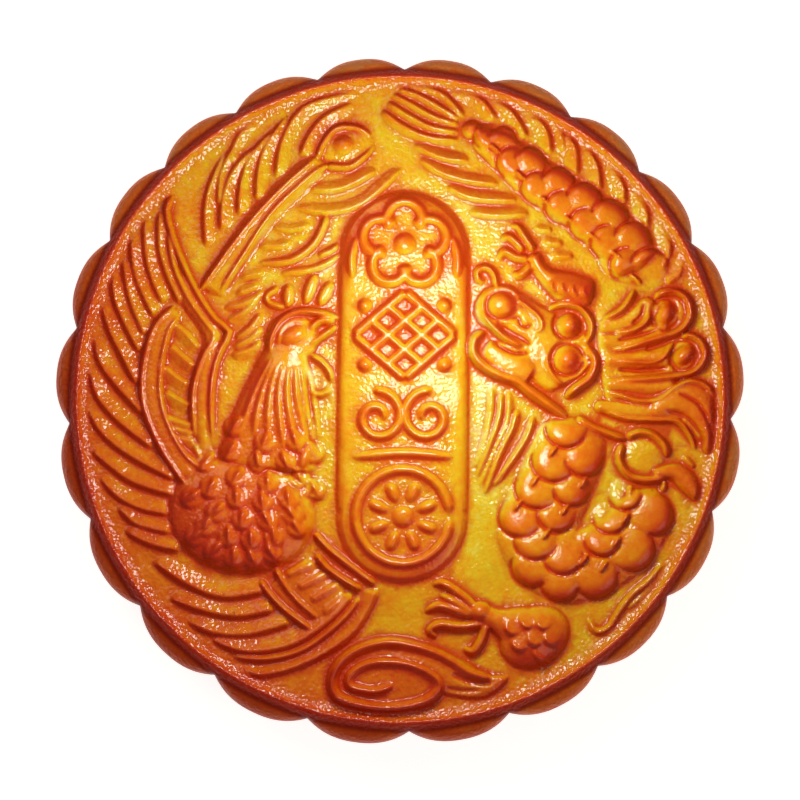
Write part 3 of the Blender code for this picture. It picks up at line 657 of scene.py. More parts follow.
ridge([(-31, 29.4), (-24, 29.9), (-19, 33.2), (-16.6, 37.5), (-16, 40)], 1.9, 1.1, 0.4, 0.1)
ridge([(-26, 27.1), (-20, 27.8), (-16, 29.2), (-12.8, 31.5)], 1.7, 0.8, 0.3, 0.3)
ridge([(-17.8, 31), (-15, 32), (-13.4, 33.4)], 1.7, 0.9, 0.3, 0.2)
family([[(-34.5, 26.2), (-32, 26.6), (-29.5, 27.4)],
        [(-35.5, 22.6), (-33, 23.4), (-30.4, 24.7)],
        [(-38, 19.6), (-34, 20.3), (-30, 22.6)],
        [(-37.5, 16.6), (-33.5, 18.8), (-29.6, 23.5)]], 4, 1.5, 0.8, 0.8, 0.3, 0.3)

# %% Wing
family([[(-52.2, 41), (-52.2, 33), (-50.6, 27), (-47.6, 20.5)],
        [(-55.3, 39.5), (-55.2, 32), (-53.8, 26), (-51.3, 20.5)],
        [(-58.2, 36.8), (-58, 30), (-56.6, 24.5), (-53.2, 17.6)],
        [(-60, 30.5), (-59.4, 25.5), (-58, 20), (-55.3, 13.5)],
        [(-62.4, 27.8), (-61.9, 22), (-60, 17), (-56.4, 10)],
        [(-64.6, 20.5), (-63, 15), (-60.3, 9.5), (-57, 3)],
        [(-66.2, 13.5), (-65, 8), (-61.5, 3), (-55.6, -3.5)],
        [(-67.2, 6.5), (-65.5, 0.5), (-61, -4.8), (-53.4, -10.8)],
        [(-67.6, -2), (-64.5, -7.5), (-58, -12.6), (-48.5, -17.6)],
        [(-67.5, -10.5), (-63.5, -14), (-57.5, -18.2), (-48.5, -21)]], 10, 3.0, 0.9, 1.2, 0.25, 0.1)
family([[(-65, -17), (-61, -21.2), (-56, -23.8), (-50, -25)],
        [(-61, -23.5), (-57.5, -26.8), (-54, -28.1), (-49.5, -29)],
        [(-59.5, -28.5), (-56, -30.5), (-52, -32), (-47.5, -32.8)]], 3, 3.0, 0.9, 1.2, 0.25, 0.1)
family([[(-53.5, -35), (-46, -40), (-38, -42.9), (-29, -41.5)],
        [(-50, -43), (-43, -45.6), (-35, -47), (-27, -45.5)],
        [(-46, -48), (-40, -50.6), (-32, -50.8), (-23.5, -48.3)]], 3, 3.2, 1.0, 1.3, 0.2, 0.05)
blade([(-41, -52), (-33, -54.6), (-23, -53), (-14.5, -47.3), (-10.2, -42.3)], 3.4, 1.0, 1.4, 0.2, 0)
ridge([(-36.5, -55.6), (-29, -56.2), (-20.5, -54), (-12.5, -47.8), (-8.6, -42.8)], 1.6, 1.3, 0.2, 0)
blade([(-36.5, -58.6), (-29.5, -59.6), (-19.5, -56.6), (-10, -50.2), (-4.9, -41)],
      2.2, 1.1, 1.3, 0.15, 0)
outer = [(-48.6, 20.2), (-53.3, 15), (-55.6, 6), (-55.4, -1.5), (-52.3, -9.5), (-48.5, -15.6),
         (-45, -20.3)]
inner = [(-47.5, 18.4), (-50.3, 14), (-51.9, 5), (-51.5, -1.5), (-49.2, -7.8), (-45.8, -13),
         (-42.6, -15.2)]
ridge(between(outer, inner), 5.6, 1.15, 0.1, 0.1)
ridge(outer, 1.6, 1.6, 0.1, 0.1)
ridge(inner, 1.6, 1.55, 0.1, 0.1)
family([[(-48.6, 16.2), (-46, 13.8), (-43.6, 11)],
        [(-51, 7), (-48.6, 4.8), (-45.8, 3.0)],
        [(-50.6, -3.8), (-48, -5.0), (-45, -5.8)],
        [(-49.2, -7.6), (-46.8, -8.7), (-44.4, -9.2)]], 7, 0.8, 2.2, 0.85, 0.1, 0.1)
ridge([(-49, 44.5), (-50.6, 41), (-49.6, 36), (-47.2, 29.5), (-43.6, 22.3), (-40.2, 17.3),
       (-37, 14.3), (-38.7, 10.8), (-40.4, 5.5), (-40.9, -1), (-40.6, -9)], 1.7, 1.6, 0.05, 0.15)
ridge([(-50.4, 37), (-49, 29), (-46, 22), (-42.2, 16.4), (-40.2, 13.4), (-42.6, 9), (-44.5, 3),
       (-44.8, -3), (-44.2, -9)], 1.6, 1.45, 0.1, 0.15)
ridge([(-48, 27.5), (-45.2, 21), (-42, 16.6), (-40.5, 12.5), (-42.4, 5), (-42.8, -3), (-42.4, -12)],
      4.4, 1.0, 0.1, 0.3)
family([[(-44.6, -9.5), (-43.6, -12), (-42.2, -14.2)],
        [(-48.2, -9.6), (-46.2, -12.2), (-43.2, -13.9)]], 2, 1.0, 1.0, 0.8)

# %% Short barred feather under the breast
ridge([(-24.2, -37), (-21.5, -40.5), (-18, -43.6), (-13.5, -46)], 12.0, 0.85, 0.05, 0.1, "form")
ridge([(-30.3, -39.3), (-28, -42.4), (-24.5, -45.9), (-19, -50)], 1.6, 1.7, 0.1, 0.1)
ridge([(-26.9, -36.8), (-24.9, -40.3), (-21.9, -43.9), (-17.8, -47.4)], 1.6, 1.6, 0.05, 0.1)
ridge([(-18.1, -33.8), (-15.8, -36.6), (-12.5, -39), (-8.4, -41.4)], 1.7, 1.8, 0.1, 0.1)
ridge([(-18.6, -29), (-15.5, -32.4), (-11, -36), (-5.3, -40.3)], 1.6, 1.5, 0.1, 0.1)
for share in np.linspace(0, 1, 4):
    ridge([(-24.6 + 8.2 * share, -38.2 - 8.2 * share), (-18.4 + 8.0 * share, -35.6 - 6.6 * share)],
          1.9, 0.55, 0.1, 0.1, "pile")

# %% [markdown]
# ## The bird
# Its neck and breast are the fullest forms of the face. Strands run down the
# neck and turn into scales, which lie in bowed rows and grow darker in the
# oven because they stand highest.


# %% Bird
limb([(-24, 12), (-26, 4), (-28, -6), (-29, -16)], [4.5, 6.5, 9.0, 11.5], 1.9)
dome(-34.3, -25.3, 16.2, 12.9, -8, 2.6, fullness=0.5)
dome(-23.5, 13.0, 6.0, 5.6, 20, 1.7)
family([[(-27.8, 8.6), (-31, 2.5), (-33.6, -4.5), (-34.6, -9)],
        [(-26.4, 8.4), (-28.2, 3), (-29.2, -3), (-29.2, -8)],
        [(-24.6, 7), (-25.5, 1), (-24.6, -6), (-23.2, -12.5)],
        [(-22.2, 7.2), (-21.6, 0), (-20.3, -5.5), (-19.3, -10)],
        [(-20.4, 8.6), (-19.2, 3), (-18.1, -4), (-17.6, -9)]],
        8, 0.85, 0.85, 0.65, 0.2, 0.25, "pile")
ridge([(-28.2, 8.4), (-27.8, 13.2), (-25.6, 17), (-22, 18.7), (-17, 18.4), (-13, 17.3)],
      1.8, 2.1, 0.2, 0.3)
ridge([(-26.4, 11.6), (-25.6, 14.9), (-23, 16.8), (-20.2, 16.3)], 1.1, 0.45, 0.2, 0.2, "pile")
dome(-22.9, 13.6, 3.0, 1.6, 26, 0.7, "pile", 0.5)
ridge([(-20, 14.3), (-17.5, 16.7), (-13.9, 16.8)], 2.0, 1.7, 0.2, 0.3)
ridge([(-19.9, 11.2), (-17, 13.4), (-13.6, 15.7)], 1.7, 1.5, 0.2, 0.3)
for tip, root in (((-18.4, 26.9), (-20.6, 20.6)), ((-14.8, 25.2), (-17.6, 20.2)),
                  ((-24.2, 24.6), (-24.4, 19.8))):
    limb([root, between([root], [tip])[0], tip], [0.8, 1.4, 0.9], 1.0, first=0.2, last=0.2)
ridge([(-26.3, 24), (-28.8, 22.3), (-28.2, 20.6), (-25, 19.7)], 1.5, 1.0)
family([[(-30, 18.6), (-32.4, 15.4), (-35.6, 13)],
        [(-30, 12.6), (-32.4, 10.6), (-36.6, 9.3)]], 3, 1.6, 0.9, 0.9, 0.2, 0.3)
ridge([(-19.4, 9.4), (-17, 7.9), (-15.2, 5.6), (-15, 3.6)], 1.6, 1.1)
ridge([(-19.3, 1.0), (-17, 0.9), (-14.9, 2.0)], 1.5, 0.9)
for x, y, long, wide, turn, rise in ((-22.3, -9.6, 2.4, 1.1, -70, 1.1),
                                     (-20.4, -12.8, 2.8, 1.2, 70, 1.0),
                                     (-19.6, -19.3, 2.3, 1.2, 55, 0.9)):
    dome(x, y, long, wide, turn, rise, "pile")
for row in range(7):
    down = row / 6.0
    half = 7.5 + 6.5 * math.sin(math.pi * (0.12 + 0.74 * down))
    count = 3 + (row > 0) + (row > 2)
    for k in range(count):
        u = (2 * k + 1) / count - 1 + (0.12 if row % 2 else -0.12)
        x, y = -28.0 - 6.6 * down + u * half, -9.6 - 25.0 * down + 4.4 * u * u - 1.2 * u
        way = math.degrees(math.atan2(-1.0, 0.9 * u - 0.1 + 0.3 * math.sin(5.0 * k + 3.0 * row)))
        scale(x, y, 2.7, way, 0.95, squash=0.85)
        leaf(x, y, 5.0, 1.4, way, 1.45)

# %% [markdown]
# ## The cloud
# A thick band curls inwards for one and a half turns, and a wave tail runs out
# of it to the right.


# %% Cloud
dome(-3.2, -60.0, 12.4, 7.4, 0, 1.1, fullness=0.3)
limb([(-2, -57), (6, -58.2), (12, -60.2), (18, -62), (23.6, -60)], [4.2, 4.6, 4.4, 2.8, 0.5],
     1.2, 0.35, 0.05, 0.1)
carve([(20, -60.6), (15, -58.9), (11, -56.4), (7, -54.5), (2, -53.1), (-2, -52.5), (-6, -53),
       (-10, -54.6), (-13.3, -57.4), (-14.8, -61), (-13.6, -64.4), (-9, -66.2), (-3.5, -66.9),
       (3, -66.2), (7, -64.6), (8.7, -62), (7.2, -59.7), (2.6, -57.5), (-3, -56.7), (-7.6, -57.4),
       (-10.8, -59.6), (-11, -62), (-8, -63), (-5, -63.2), (-2, -62.2), (-1.6, -60.8)],
       2.2, 1.2, 2.3, 0.03, 0.03, "line", Steps=150, Roundness=1.3, Fullness=0.9)
groove([(11, -59.4), (15, -61.2), (20, -61.4)], 1.6, 0.6)
groove([(9.6, -62.4), (13, -63), (17.6, -63)], 1.2, 0.4)

# %% [markdown]
# ## The dragon
# It hangs from its tail tuft at the top, runs down the right edge, passes
# behind its own mane, and turns in a bow below its head. The body is a limb
# under rows of rounded scales, with a small ridge where two scales meet, and
# fins stand along its back.


# %% Tail and fins
family([[(1, 68), (5.5, 67.8), (10, 65.6), (14, 61)],
        [(-1, 67.3), (3, 65.5), (7.5, 63), (13, 60.4)],
        [(-2.4, 65.2), (2, 62.5), (7, 59.8), (13, 58.6)],
        [(-4, 62.8), (0, 59.6), (6, 56.9), (12.8, 56.2)]], 5, 0.9, 1.8, 1.3, 0.2, 0.2)
dome(15.6, 58.4, 2.2, 2.0, 0, 1.7)
family([[(3, 55), (7, 53), (10.5, 51.9), (15, 51.5)],
        [(4, 52), (9, 48.9), (15, 47.2), (21.5, 46.4)],
        [(10, 46), (14.5, 43.8), (19.5, 43), (25.5, 43)],
        [(15, 40.4), (19, 39.7), (23.5, 39.6), (28, 40)]], 4, 2.0, 0.9, 1.05, 0.25, 0.2)
family([[(29, 37), (31, 36.5), (33, 36.4)], [(33, 31), (35, 30.7), (37.5, 30.8)]],
       3, 1.3, 0.8, 0.8, 0.3, 0.2)
family([[(10.5, 66.5), (15, 66.8), (18.5, 64), (20.8, 60.5)],
        [(19, 66.2), (23.2, 63.3), (25.8, 60), (27.5, 56.5)],
        [(27.5, 63.5), (31, 59.5), (32.3, 56.5), (32.5, 53)],
        [(36, 57.8), (37.8, 55), (38.3, 52), (38.2, 48.5)],
        [(40.5, 54.8), (42.6, 51), (43.2, 48), (43.2, 45)],
        [(45.5, 51.5), (48, 47.5), (48.6, 44), (48.2, 41)],
        [(51, 46.4), (53.2, 42), (53.6, 38.5), (53, 35)],
        [(56.5, 40), (58.4, 36), (58.4, 31.8), (56.6, 27.6)]], 8, 0.9, 3.0, 1.2, 0.3, 0.1)
family([[(30.5, 63.2), (33.8, 60.4), (35.2, 57), (35.6, 53.5)],
        [(49.5, 50.2), (51.6, 46.4), (52.2, 42.5), (51.6, 39)],
        [(61.6, 31.6), (61.2, 28.4), (60, 26.4), (57.8, 25.0)]], 3, 0.9, 2.0, 0.95, 0.3, 0.1)

# %% Body
limb([(15.5, 57.5), (22, 53.8), (28.6, 48.4), (35, 44), (42, 39.2), (47.5, 34), (51.5, 27.5)],
     [2.0, 4.0, 4.8, 5.0, 5.4, 6.2, 6.4], 1.5)
for x, y, size in ((18.9, 57.0, 2.8), (24.4, 51.2, 3.3), (29.9, 45.6, 3.5), (35.2, 41.4, 3.5),
                   (40.4, 37.6, 3.5), (45.2, 33.8, 3.6), (49.4, 28.8, 3.7)):
    bead(x, y, 1.06 * size, 162)
    ridge([(x + 0.4, y - 1.8), (x + 2.9, y - 4.0)], 0.9, 1.6, 0.3, 0.3, "pile")
for x, y, size in ((22.4, 56.0, 2.8), (28.4, 51.2, 3.0), (34.4, 46.6, 3.2), (40, 43.0, 3.4),
                   (45.6, 39.4, 3.5), (50.6, 34.2, 3.6), (54.2, 28.4, 3.6)):
    bead(x, y, 1.16 * size, 88, 1.5)
limb([(37.5, -4), (36.5, -10), (33, -20), (29.6, -29), (36, -36.4), (47, -32.4), (52.6, -25.4),
      (55, -19)], [6.4, 8.3, 8.5, 8.8, 8.2, 7.6, 6.6, 3.6], 1.6)
for x, y, size, way in ((36, -6.3, 4.5, 250), (33.3, -13.4, 4.8, 240), (29.6, -19.3, 4.7, 238),
                        (25.9, -25.5, 4.6, 252), (29.2, -30.4, 4.6, 262), (35.2, -34, 4.2, 270),
                        (28.4, -36.4, 4.4, 235), (34.6, -39.6, 4.3, 262), (40, -12.6, 4.4, 268),
                        (37.2, -19.4, 4.0, 262), (33.9, -24.8, 4.2, 250), (48.6, -20.6, 3.6, -85),
                        (45.4, -25.6, 3.7, -80), (43.6, -30.4, 3.8, -92), (54.6, -25.2, 4.6, -25),
                        (50.2, -32.6, 4.9, -35), (42.2, -38.6, 4.8, -65)):
    bead(x, y, 1.02 * size, way)
for x, y in ((33, -11.6), (29, -18), (25.4, -23.2), (39.5, -18.4), (35.5, -24.2), (31.5, -29.4),
             (39.5, -35), (43.8, -36.4), (48.5, -26), (46.6, -31)):
    ridge([(x - 0.9, y - 1.3), (x + 0.9, y + 1.3)], 0.8, 1.9, 0.3, 0.3, "pile")

# %% Claws
limb([(28.6, 31.5), (31, 27.2), (36, 24), (42, 22.6)], [1.6, 1.8, 3.6, 3.0], 1.8)
for toe in ([(29, 32), (27, 35), (25.5, 37.2), (24, 37.3)],
            [(26.8, 32), (25, 34), (23.5, 35), (22, 34.3)],
            [(28, 30.2), (25, 30.7), (22.8, 31.8), (21.2, 30.3)],
            [(28.4, 29), (26.5, 27), (24.4, 26.7)]):
    ridge(toe, 2.1, 1.6, 0.1, 0.5)
for k in range(4):
    plate(34.0 + 2.3 * k, 24.3 - 0.4 * k, 1.9, 200, 0.7, 0.4, 1.3)
limb([(17.3, -46.2), (20.5, -47.8), (25, -49.6), (30, -51.4)], [2.3, 2.6, 5.0, 6.6], 2.0)
dome(29, -51.6, 8.0, 6.6, 30, 2.5)
dome(17.3, -46.1, 2.6, 2.4, 0, 2.6)
for toe in ([(16.6, -45.4), (12.6, -42), (9, -39.9), (7.0, -40.5)],
            [(16, -46.5), (12, -44.1), (8.6, -42.4)],
            [(15.6, -47), (11, -45.4), (8, -44.8), (5.4, -46.2)],
            [(18, -48.6), (13, -49.2), (8.6, -48.8), (6.4, -50.2), (8.2, -51.6)],
            [(18.6, -48.6), (17.6, -52), (15.8, -54.6), (13.6, -53.8)]):
    ridge(toe, 2.3, 1.7, 0.1, 0.4)
for x, y in ((24.4, -49.0), (27.6, -47.6), (31.0, -47.8), (25.8, -52.4), (29.2, -51.4),
             (32.8, -51.2), (30.6, -54.6)):
    plate(x, y, 2.2, 240, 0.6, 0.4, 1.4)

# %% Mane
limb([(43, 8), (52, 9), (60, 9)], [11, 13, 8], 0.7, 0.3)
for lock, halves in (([(43, 15.4), (49, 16.4), (53, 18.8), (55, 21.6)], [1.6, 2.2, 2.6, 1.8]),
                     ([(43, 12.4), (52, 12.8), (58.5, 15.6)], [1.6, 2.2, 2.6]),
                     ([(44, 8.4), (52, 8.4), (59, 8.8)], [1.6, 2.2, 2.6]),
                     ([(44, 3.2), (54, 2.8), (60, 3)], [1.4, 2.0, 2.0]),
                     ([(42, -1.6), (50, -2.6), (56, -2.6)], [1.2, 2.0, 2.4])):
    limb(lock, halves, 1.4, first=0.1, last=0.12)
limb([(54, -3), (58, -1.4), (62.4, -0.8), (66, -4), (67.4, -8.4), (66.4, -12.2)],
     [1.6, 3.4, 4.9, 4.6, 3.2, 0.8], 2.0)
for x, y, turn in ((57.9, 18.2, -25), (61.9, 9.3, -50)):
    dome(x, y, 4.7, 4.6, 0, 1.0)
    dome(x - 0.5, y, 1.9, 2.8, turn, 2.5, fullness=0.5)
    groove(arc(x - 0.5, y, 2.9, 3.5, 0, 360, 20), 1.2, 0.5)
blade([(43.6, 17.1), (47, 18.6), (49, 20.5), (50.8, 23.6)], 0.9, 1.7, 2.3, 0.3, 0.35)
ridge([(46, 14.2), (50, 14.6), (53, 16.3), (54.6, 19.3)], 1.6, 2.3, 0.4, 0.3)
ridge([(45, 10.6), (49, 10.9), (53, 12.2), (57, 13.4), (60.5, 14.6), (62.7, 17.5), (62.3, 21),
       (60, 23), (57, 22.9), (54.8, 21.6)], 1.8, 2.2, 0.3, 0.1)
ridge([(45, 8.1), (51, 7.8), (54.3, 7.7), (57, 8.9), (59.4, 12.3)], 1.4, 2.2, 0.4, 0.2)
ridge([(45, 4.0), (52, 4.0), (57, 4.4), (61, 5), (64.2, 6.2), (65.9, 9), (65.2, 12), (62.6, 13.6),
       (60.4, 12.7)], 1.7, 2.2, 0.3, 0.1)
ridge([(44, 1.6), (48, 0.5), (52, -0.7), (56, -0.2), (60, 2.6), (63.4, 3.7), (67, 2), (69, -2)],
      1.4, 2.0, 0.3, 0.2)
ridge([(43, -2.3), (46, -3.4), (49.5, -4.4), (55, -4.7), (60, -5), (62.6, -8), (64, -11.6)],
      1.5, 1.9, 0.3, 0.3)
ridge([(38, -4.2), (42, -6.4), (46, -8), (49, -9)], 1.8, 1.8)
for cut in ([(50.2, 16.0), (52.3, 17.9), (53, 20.8)], [(53, 10.4), (57, 11.7), (59.4, 13)],
            [(47, 12.6), (52, 13.6), (56, 15)], [(47, 6.2), (53, 6.0), (58, 6.6)],
            [(60, 1.2), (64.2, -1), (66.6, -5), (67.4, -9)],
            [(57.4, -2.8), (61.8, -4), (64.8, -7.6), (65.8, -11)]):
    groove(cut, 1.2, 0.8)
ridge([(49, -8.6), (51.5, -7.4), (54.5, -7.9), (57, -10), (57.9, -12.8)], 1.9, 1.9, 0.1, 0.2)
ridge([(48.2, -9.8), (47.3, -12.5), (48, -15), (50, -17), (53.5, -17.7), (57.5, -17.2)],
      2.0, 2.1, 0.1, 0.2)
dome(52.6, -12.5, 4.9, 4.6, 0, 0.8)
limb([(54.5, -16.4), (59.5, -16.0), (62.4, -18.6), (64.4, -22.2)], [1.0, 2.0, 2.2, 0.8],
     1.8, first=0.1, last=0.12)
ridge([(61.4, -12.7), (63.6, -15)], 1.2, 1.1)

# %% Head
limb([(22, 20.5), (28, 15.5), (34, 9.5), (38, 4)], [4.4, 5.6, 8.0, 6.0], 1.4, 0.4)
dome(21.6, 19.6, 5.6, 5.0, 20, 2.1, fullness=0.45)
groove(arc(22.0, 20.1, 3.3, 3.0, 0, 360, 24), 1.4, 0.7)
dome(22.0, 20.1, 2.6, 2.3, -15, 0.45, "pile")
limb([(18.4, 11.4), (21.6, 9.2), (25.4, 6.8), (28.6, 4.6)], [1.6, 3.2, 3.6, 2.0], 1.7, 0.3)
groove([(19.6, 12.9), (22.4, 10.7), (25.2, 9.6), (27.8, 9.8)], 1.1, 1.0)
ridge([(18.8, 14.3), (16.4, 13.2), (15.8, 10), (18, 7.1), (22, 4.8), (25.5, 3.6), (28, 1.6),
       (31, -0.6), (36.6, -4.4)], 2.6, 2.1, 0.1, 0.2)
ridge([(17.3, 19.6), (18.6, 17.2), (20.8, 14.8), (23.4, 12.6), (27, 11)], 2.0, 2.2, 0.2, 0.2)
groove([(20.8, 16.9), (23.5, 14.6), (26.4, 13), (28.4, 11.4)], 1.4)
groove([(23.4, 17.2), (25.6, 17.4), (26.2, 15.9), (27.6, 15.4), (28.6, 16.4)], 1.2, 0.6)
ridge([(24.6, 21.8), (27.6, 19.8), (30.2, 17.4), (30.6, 15), (28.4, 13.9)], 1.5, 2.0)
for x, y, ball in ((36.6, 15.9, 2.5), (36.3, 8.4, 2.8)):
    groove(arc(x, y, ball + 0.7, ball + 0.7, 0, 360, 20), 1.4, 0.9)
    dome(x, y, ball, ball, 0, 2.5, "line", 0.5)
ridge([(32, 19.3), (35.6, 20.4), (39.2, 19.4), (41.4, 16.4), (41, 13.2), (39.6, 11.8)],
      1.7, 1.9, 0.3, 0.2)
ridge([(40, 11.4), (42.2, 8.2), (41.2, 4.6), (38.4, 2.4), (35.8, 0.2)], 2.4, 2.3, 0.2, 0.2)
ridge([(31.8, 9.6), (32.2, 6.6), (33.6, 4.2), (35.4, 2.6)], 1.4, 2.0, 0.2, 0.2)
ridge([(20.9, 24.2), (20.3, 27), (18.6, 28.4), (16.8, 27.6), (17, 25.8), (18.4, 25.4)],
      1.5, 1.3, 0.1, 0.2)
family([[(21.8, 1.2), (21.6, -3.5), (20, -8.5), (16.6, -17)],
        [(25.4, -2.2), (24.3, -6.5), (21.6, -12), (18.2, -21)],
        [(28.8, -3.6), (27.8, -7.6), (25.2, -12), (20.2, -19)]], 3, 1.1, 1.1, 1.3, 0.15, 0.4)
family([[(19.8, 2.6), (19.6, -3), (18.4, -9), (16.2, -15)],
        [(23.6, 1.6), (23.2, -5), (20.8, -10.4), (17.2, -19)]], 2, 1.1, 1.1, 0.8, 0.15, 0.4)

# %% Flame and drops by the dragon
ridge([(40.6, -47.4), (42.2, -50.2), (45, -49.4), (47.2, -46), (50, -42.4), (53.4, -39.6),
       (57, -35.4)], 1.8, 1.2)
ridge([(49, -45.5), (53, -42), (57.4, -36.6)], 1.4, 0.9)
dome(49.6, -20.2, 1.5, 0.7, 80, 1.2)
dome(57, -19, 1.5, 0.7, 80, 1.2)
print(sum(len(v) for v in drawings.values()), "chains in", len(drawings), "sets")

# %% [markdown]
# ## Pressing the sheets
# Dough takes up the highest surface it meets. The press tree lays a fine level
# sheet of points over the carved pieces and drops each point until it touches
# them, by a ray from above. What it gives back is read as a table of heights,
# in which forms can be joined, piles added and cuts taken away.

# %% Press tree
SHEET_HALF = 76.0
SHEET_STEP = 0.2
SHEET_POINTS = int(round(2 * SHEET_HALF / SHEET_STEP)) + 1
axis = np.linspace(-SHEET_HALF, SHEET_HALF, SHEET_POINTS)
grid_x, grid_y = np.meshgrid(axis, axis)
radius = np.hypot(grid_x, grid_y)


def press_tree():
    bench = Bench("press", [
        ("Carving", "Geometry"), ("Width", "Float", 2 * SHEET_HALF), ("Points", "Int", 101)])
    sheet = bench.get("GeometryNodeMeshGrid", {
        "Size X": bench["Width"], "Size Y": bench["Width"],
        "Vertices X": bench["Points"], "Vertices Y": bench["Points"]})
    start = bench.get("GeometryNodeInputPosition") + (0, 0, RAY_START)
    height, met = bench.look_down(bench["Carving"], start)
    return bench.done(bench.get("GeometryNodeSetPosition", {
        "Geometry": sheet, "Offset": bench.join(0.0, 0.0, height * met)}))


PRESS_TREE = press_tree()


def joined(meshes, name):
    """Several meshes of four-sided faces as one."""
    spots, faces, start = [], [], 0
    for mesh in meshes:
        spots.append(read(mesh.vertices, "co"))
        faces.append(read(mesh.loops, "vertex_index", 1, np.int32).reshape(-1, 4) + start)
        start += len(mesh.vertices)
        bpy.data.meshes.remove(mesh)
    whole = bpy.data.meshes.new(name)
    whole.from_pydata(np.concatenate(spots), [], np.concatenate(faces))
    return whole


def pressed(sheet):
    """The table of heights that one sheet of the drawing leaves."""
    carved = []
    for (name, tree, inputs), chains in drawings.items():
        if name == sheet:
            given = {label: value for label, value in inputs if label != "Set"}
            group = bpy.data.node_groups[tree]
            carved.append(run_tree(group, chain_mesh(chains), "carved", **given))
    count = sum(len(mesh.polygons) for mesh in carved)
    laid = run_tree(PRESS_TREE, joined(carved, sheet), sheet,
                    Width=2 * SHEET_HALF, Points=SHEET_POINTS)
    table = read(laid.vertices, "co")[:, 2].reshape(SHEET_POINTS, SHEET_POINTS).T.astype(float)
    bpy.data.meshes.remove(laid)
    print(sheet, count, "carved faces, up to", round(float(table.max()), 2), "mm")
    return table


# %% [markdown]
# The panel tablet joins the forms here: a level top with a soft edge.

# %% Panel tablet and the four sheets
TABLET_EDGE = 22.0               # a high roundness, so that only the edge falls away
for x, y in (PANEL_LOW, PANEL_HIGH):
    stamp(x, y, PANEL_HALF, PANEL_HALF, 0, PANEL_RISE, "form", Roundness=TABLET_EDGE, Fullness=1.0)
carve([PANEL_LOW, PANEL_HIGH], PANEL_HALF, PANEL_HALF, PANEL_RISE, 0.0, 0.0, "form",
      Facets=41, Roundness=TABLET_EDGE, Fullness=1.0)
form, pile, line, cut = [pressed(name) for name in ("form", "pile", "line", "cut")]

# %% [markdown]
# ## Joining the sheets and the rim
# Piles stand on forms, drawn lines win wherever they are higher, and cuts go
# in last. The rim is a ring. Its inner slope starts as a long faint rise and
# ends in a short steep one, and its outer flank falls into a crease. Baking
# rounds every edge a little, which a small blur of the table does, and makes
# the dough swell unevenly by a few tenths of a millimetre.


# %% Table tools
def soften(table, reach):
    """A round blur with a reach in millimetres."""
    half = int(math.ceil(3 * reach / SHEET_STEP))
    weight = np.exp(-0.5 * (np.arange(-half, half + 1) * SHEET_STEP / reach) ** 2)
    weight /= weight.sum()
    for way in (0, 1):
        padded = np.pad(table, [(half, half) if k == way else (0, 0) for k in (0, 1)], mode="edge")
        size = table.shape[way]
        table = sum(w * np.take(padded, np.arange(k, k + size), way)
                    for k, w in enumerate(weight))
    return table


def ramped(value, low, high):
    """0 below low, 1 above high, straight in between."""
    return np.clip((value - low) / (high - low), 0, 1)


def ease(value, low, high):
    """0 below low, 1 above high, soft in between."""
    t = ramped(value, low, high)
    return t * t * (3 - 2 * t)


def swell(reach, seed):
    """Even random unevenness with a given reach, from -1 to 1 or so."""
    cells = int(math.ceil(2 * SHEET_HALF / reach)) + 3
    values = np.random.default_rng(seed).normal(size=(cells, cells))
    place = (axis + SHEET_HALF) / reach + 1
    low = np.floor(place).astype(int)
    u = ease(place - low, 0, 1)
    rows = values[low] * (1 - u)[:, None] + values[low + 1] * u[:, None]
    return rows[:, low] * (1 - u) + rows[:, low + 1] * u


# %% Rim and finished face
CREASE_RADIUS = 71.5             # where the rim falls into the side
CREST_RADIUS = 69.9
RIM_FOOT_RADIUS = 66.4
RISE_RADIUS = 60.0               # where the faint rise towards the rim begins
FAINT_SHARE = 0.25               # how much of the rim's height it reaches
RELIEF_RADIUS = 68.6             # the carving ends here
RIM_RISE = 2.0
FIELD_HEIGHT = 32.3
CARVING_GAIN = 1.25
DEEPEST_CUT = 0.35
BAKE_SOFTENING = 0.2

relief = np.clip(CARVING_GAIN * (np.maximum(form + pile, line) - cut), -DEEPEST_CUT, None)
relief = relief * np.clip((RELIEF_RADIUS - radius) / 1.6, 0, 1)
inner_slope = (FAINT_SHARE * ramped(radius, RISE_RADIUS, CREST_RADIUS)
               + (1 - FAINT_SHARE) * ramped(radius, RIM_FOOT_RADIUS, CREST_RADIUS) ** 3)
outer_flank = ramped(radius, CREASE_RADIUS, CREST_RADIUS) ** 0.75
rim = RIM_RISE * np.where(radius < CREST_RADIUS, inner_slope, outer_flank)
relief = soften(np.maximum(relief, rim) + 0.3 * np.minimum(relief, rim), BAKE_SOFTENING)
inside = np.clip((CREASE_RADIUS - radius) / 2, 0, 1)
relief = relief + inside * (0.12 * swell(9.0, 3) + 0.05 * swell(3.1, 4))
print("relief from", round(float(relief.min()), 2), "to", round(float(relief.max()), 2),
      "mm above the field")

# %% [markdown]
# ## The petalled cake
# The side follows a rule: twenty-two round petals between sharp notches, a
# little wider towards the lower left, the same outline at every height but
# drawn in at the foot and rounded over at the shoulder. That is work for a
# node tree. The face is a square grid eased into a disc, because a disc of
# spokes would waste its points in the middle. The wall is a grid wrapped
# round, whose rows are read from a profile: each point of the profile holds
# the notch radius, how far the petals stand out there, and the height.

# %% Wall profile
TIP_RADIUS, NOTCH_RADIUS = 75.0, 72.0
SHOULDER, FOOT, FOOT_INSET = 5.0, 4.0, 3.2
SAG_HEIGHT, SAG_INSET = 9.5, 0.6             # the wall draws in a little above its foot
FOOT_FLATTENING = 0.3                        # the petals are flatter on the base
PETAL_DEPTH = TIP_RADIUS - NOTCH_RADIUS
BASE_SHARES = (0.0, 0.25, 0.5, 0.7, 0.82, 0.9, 0.96)

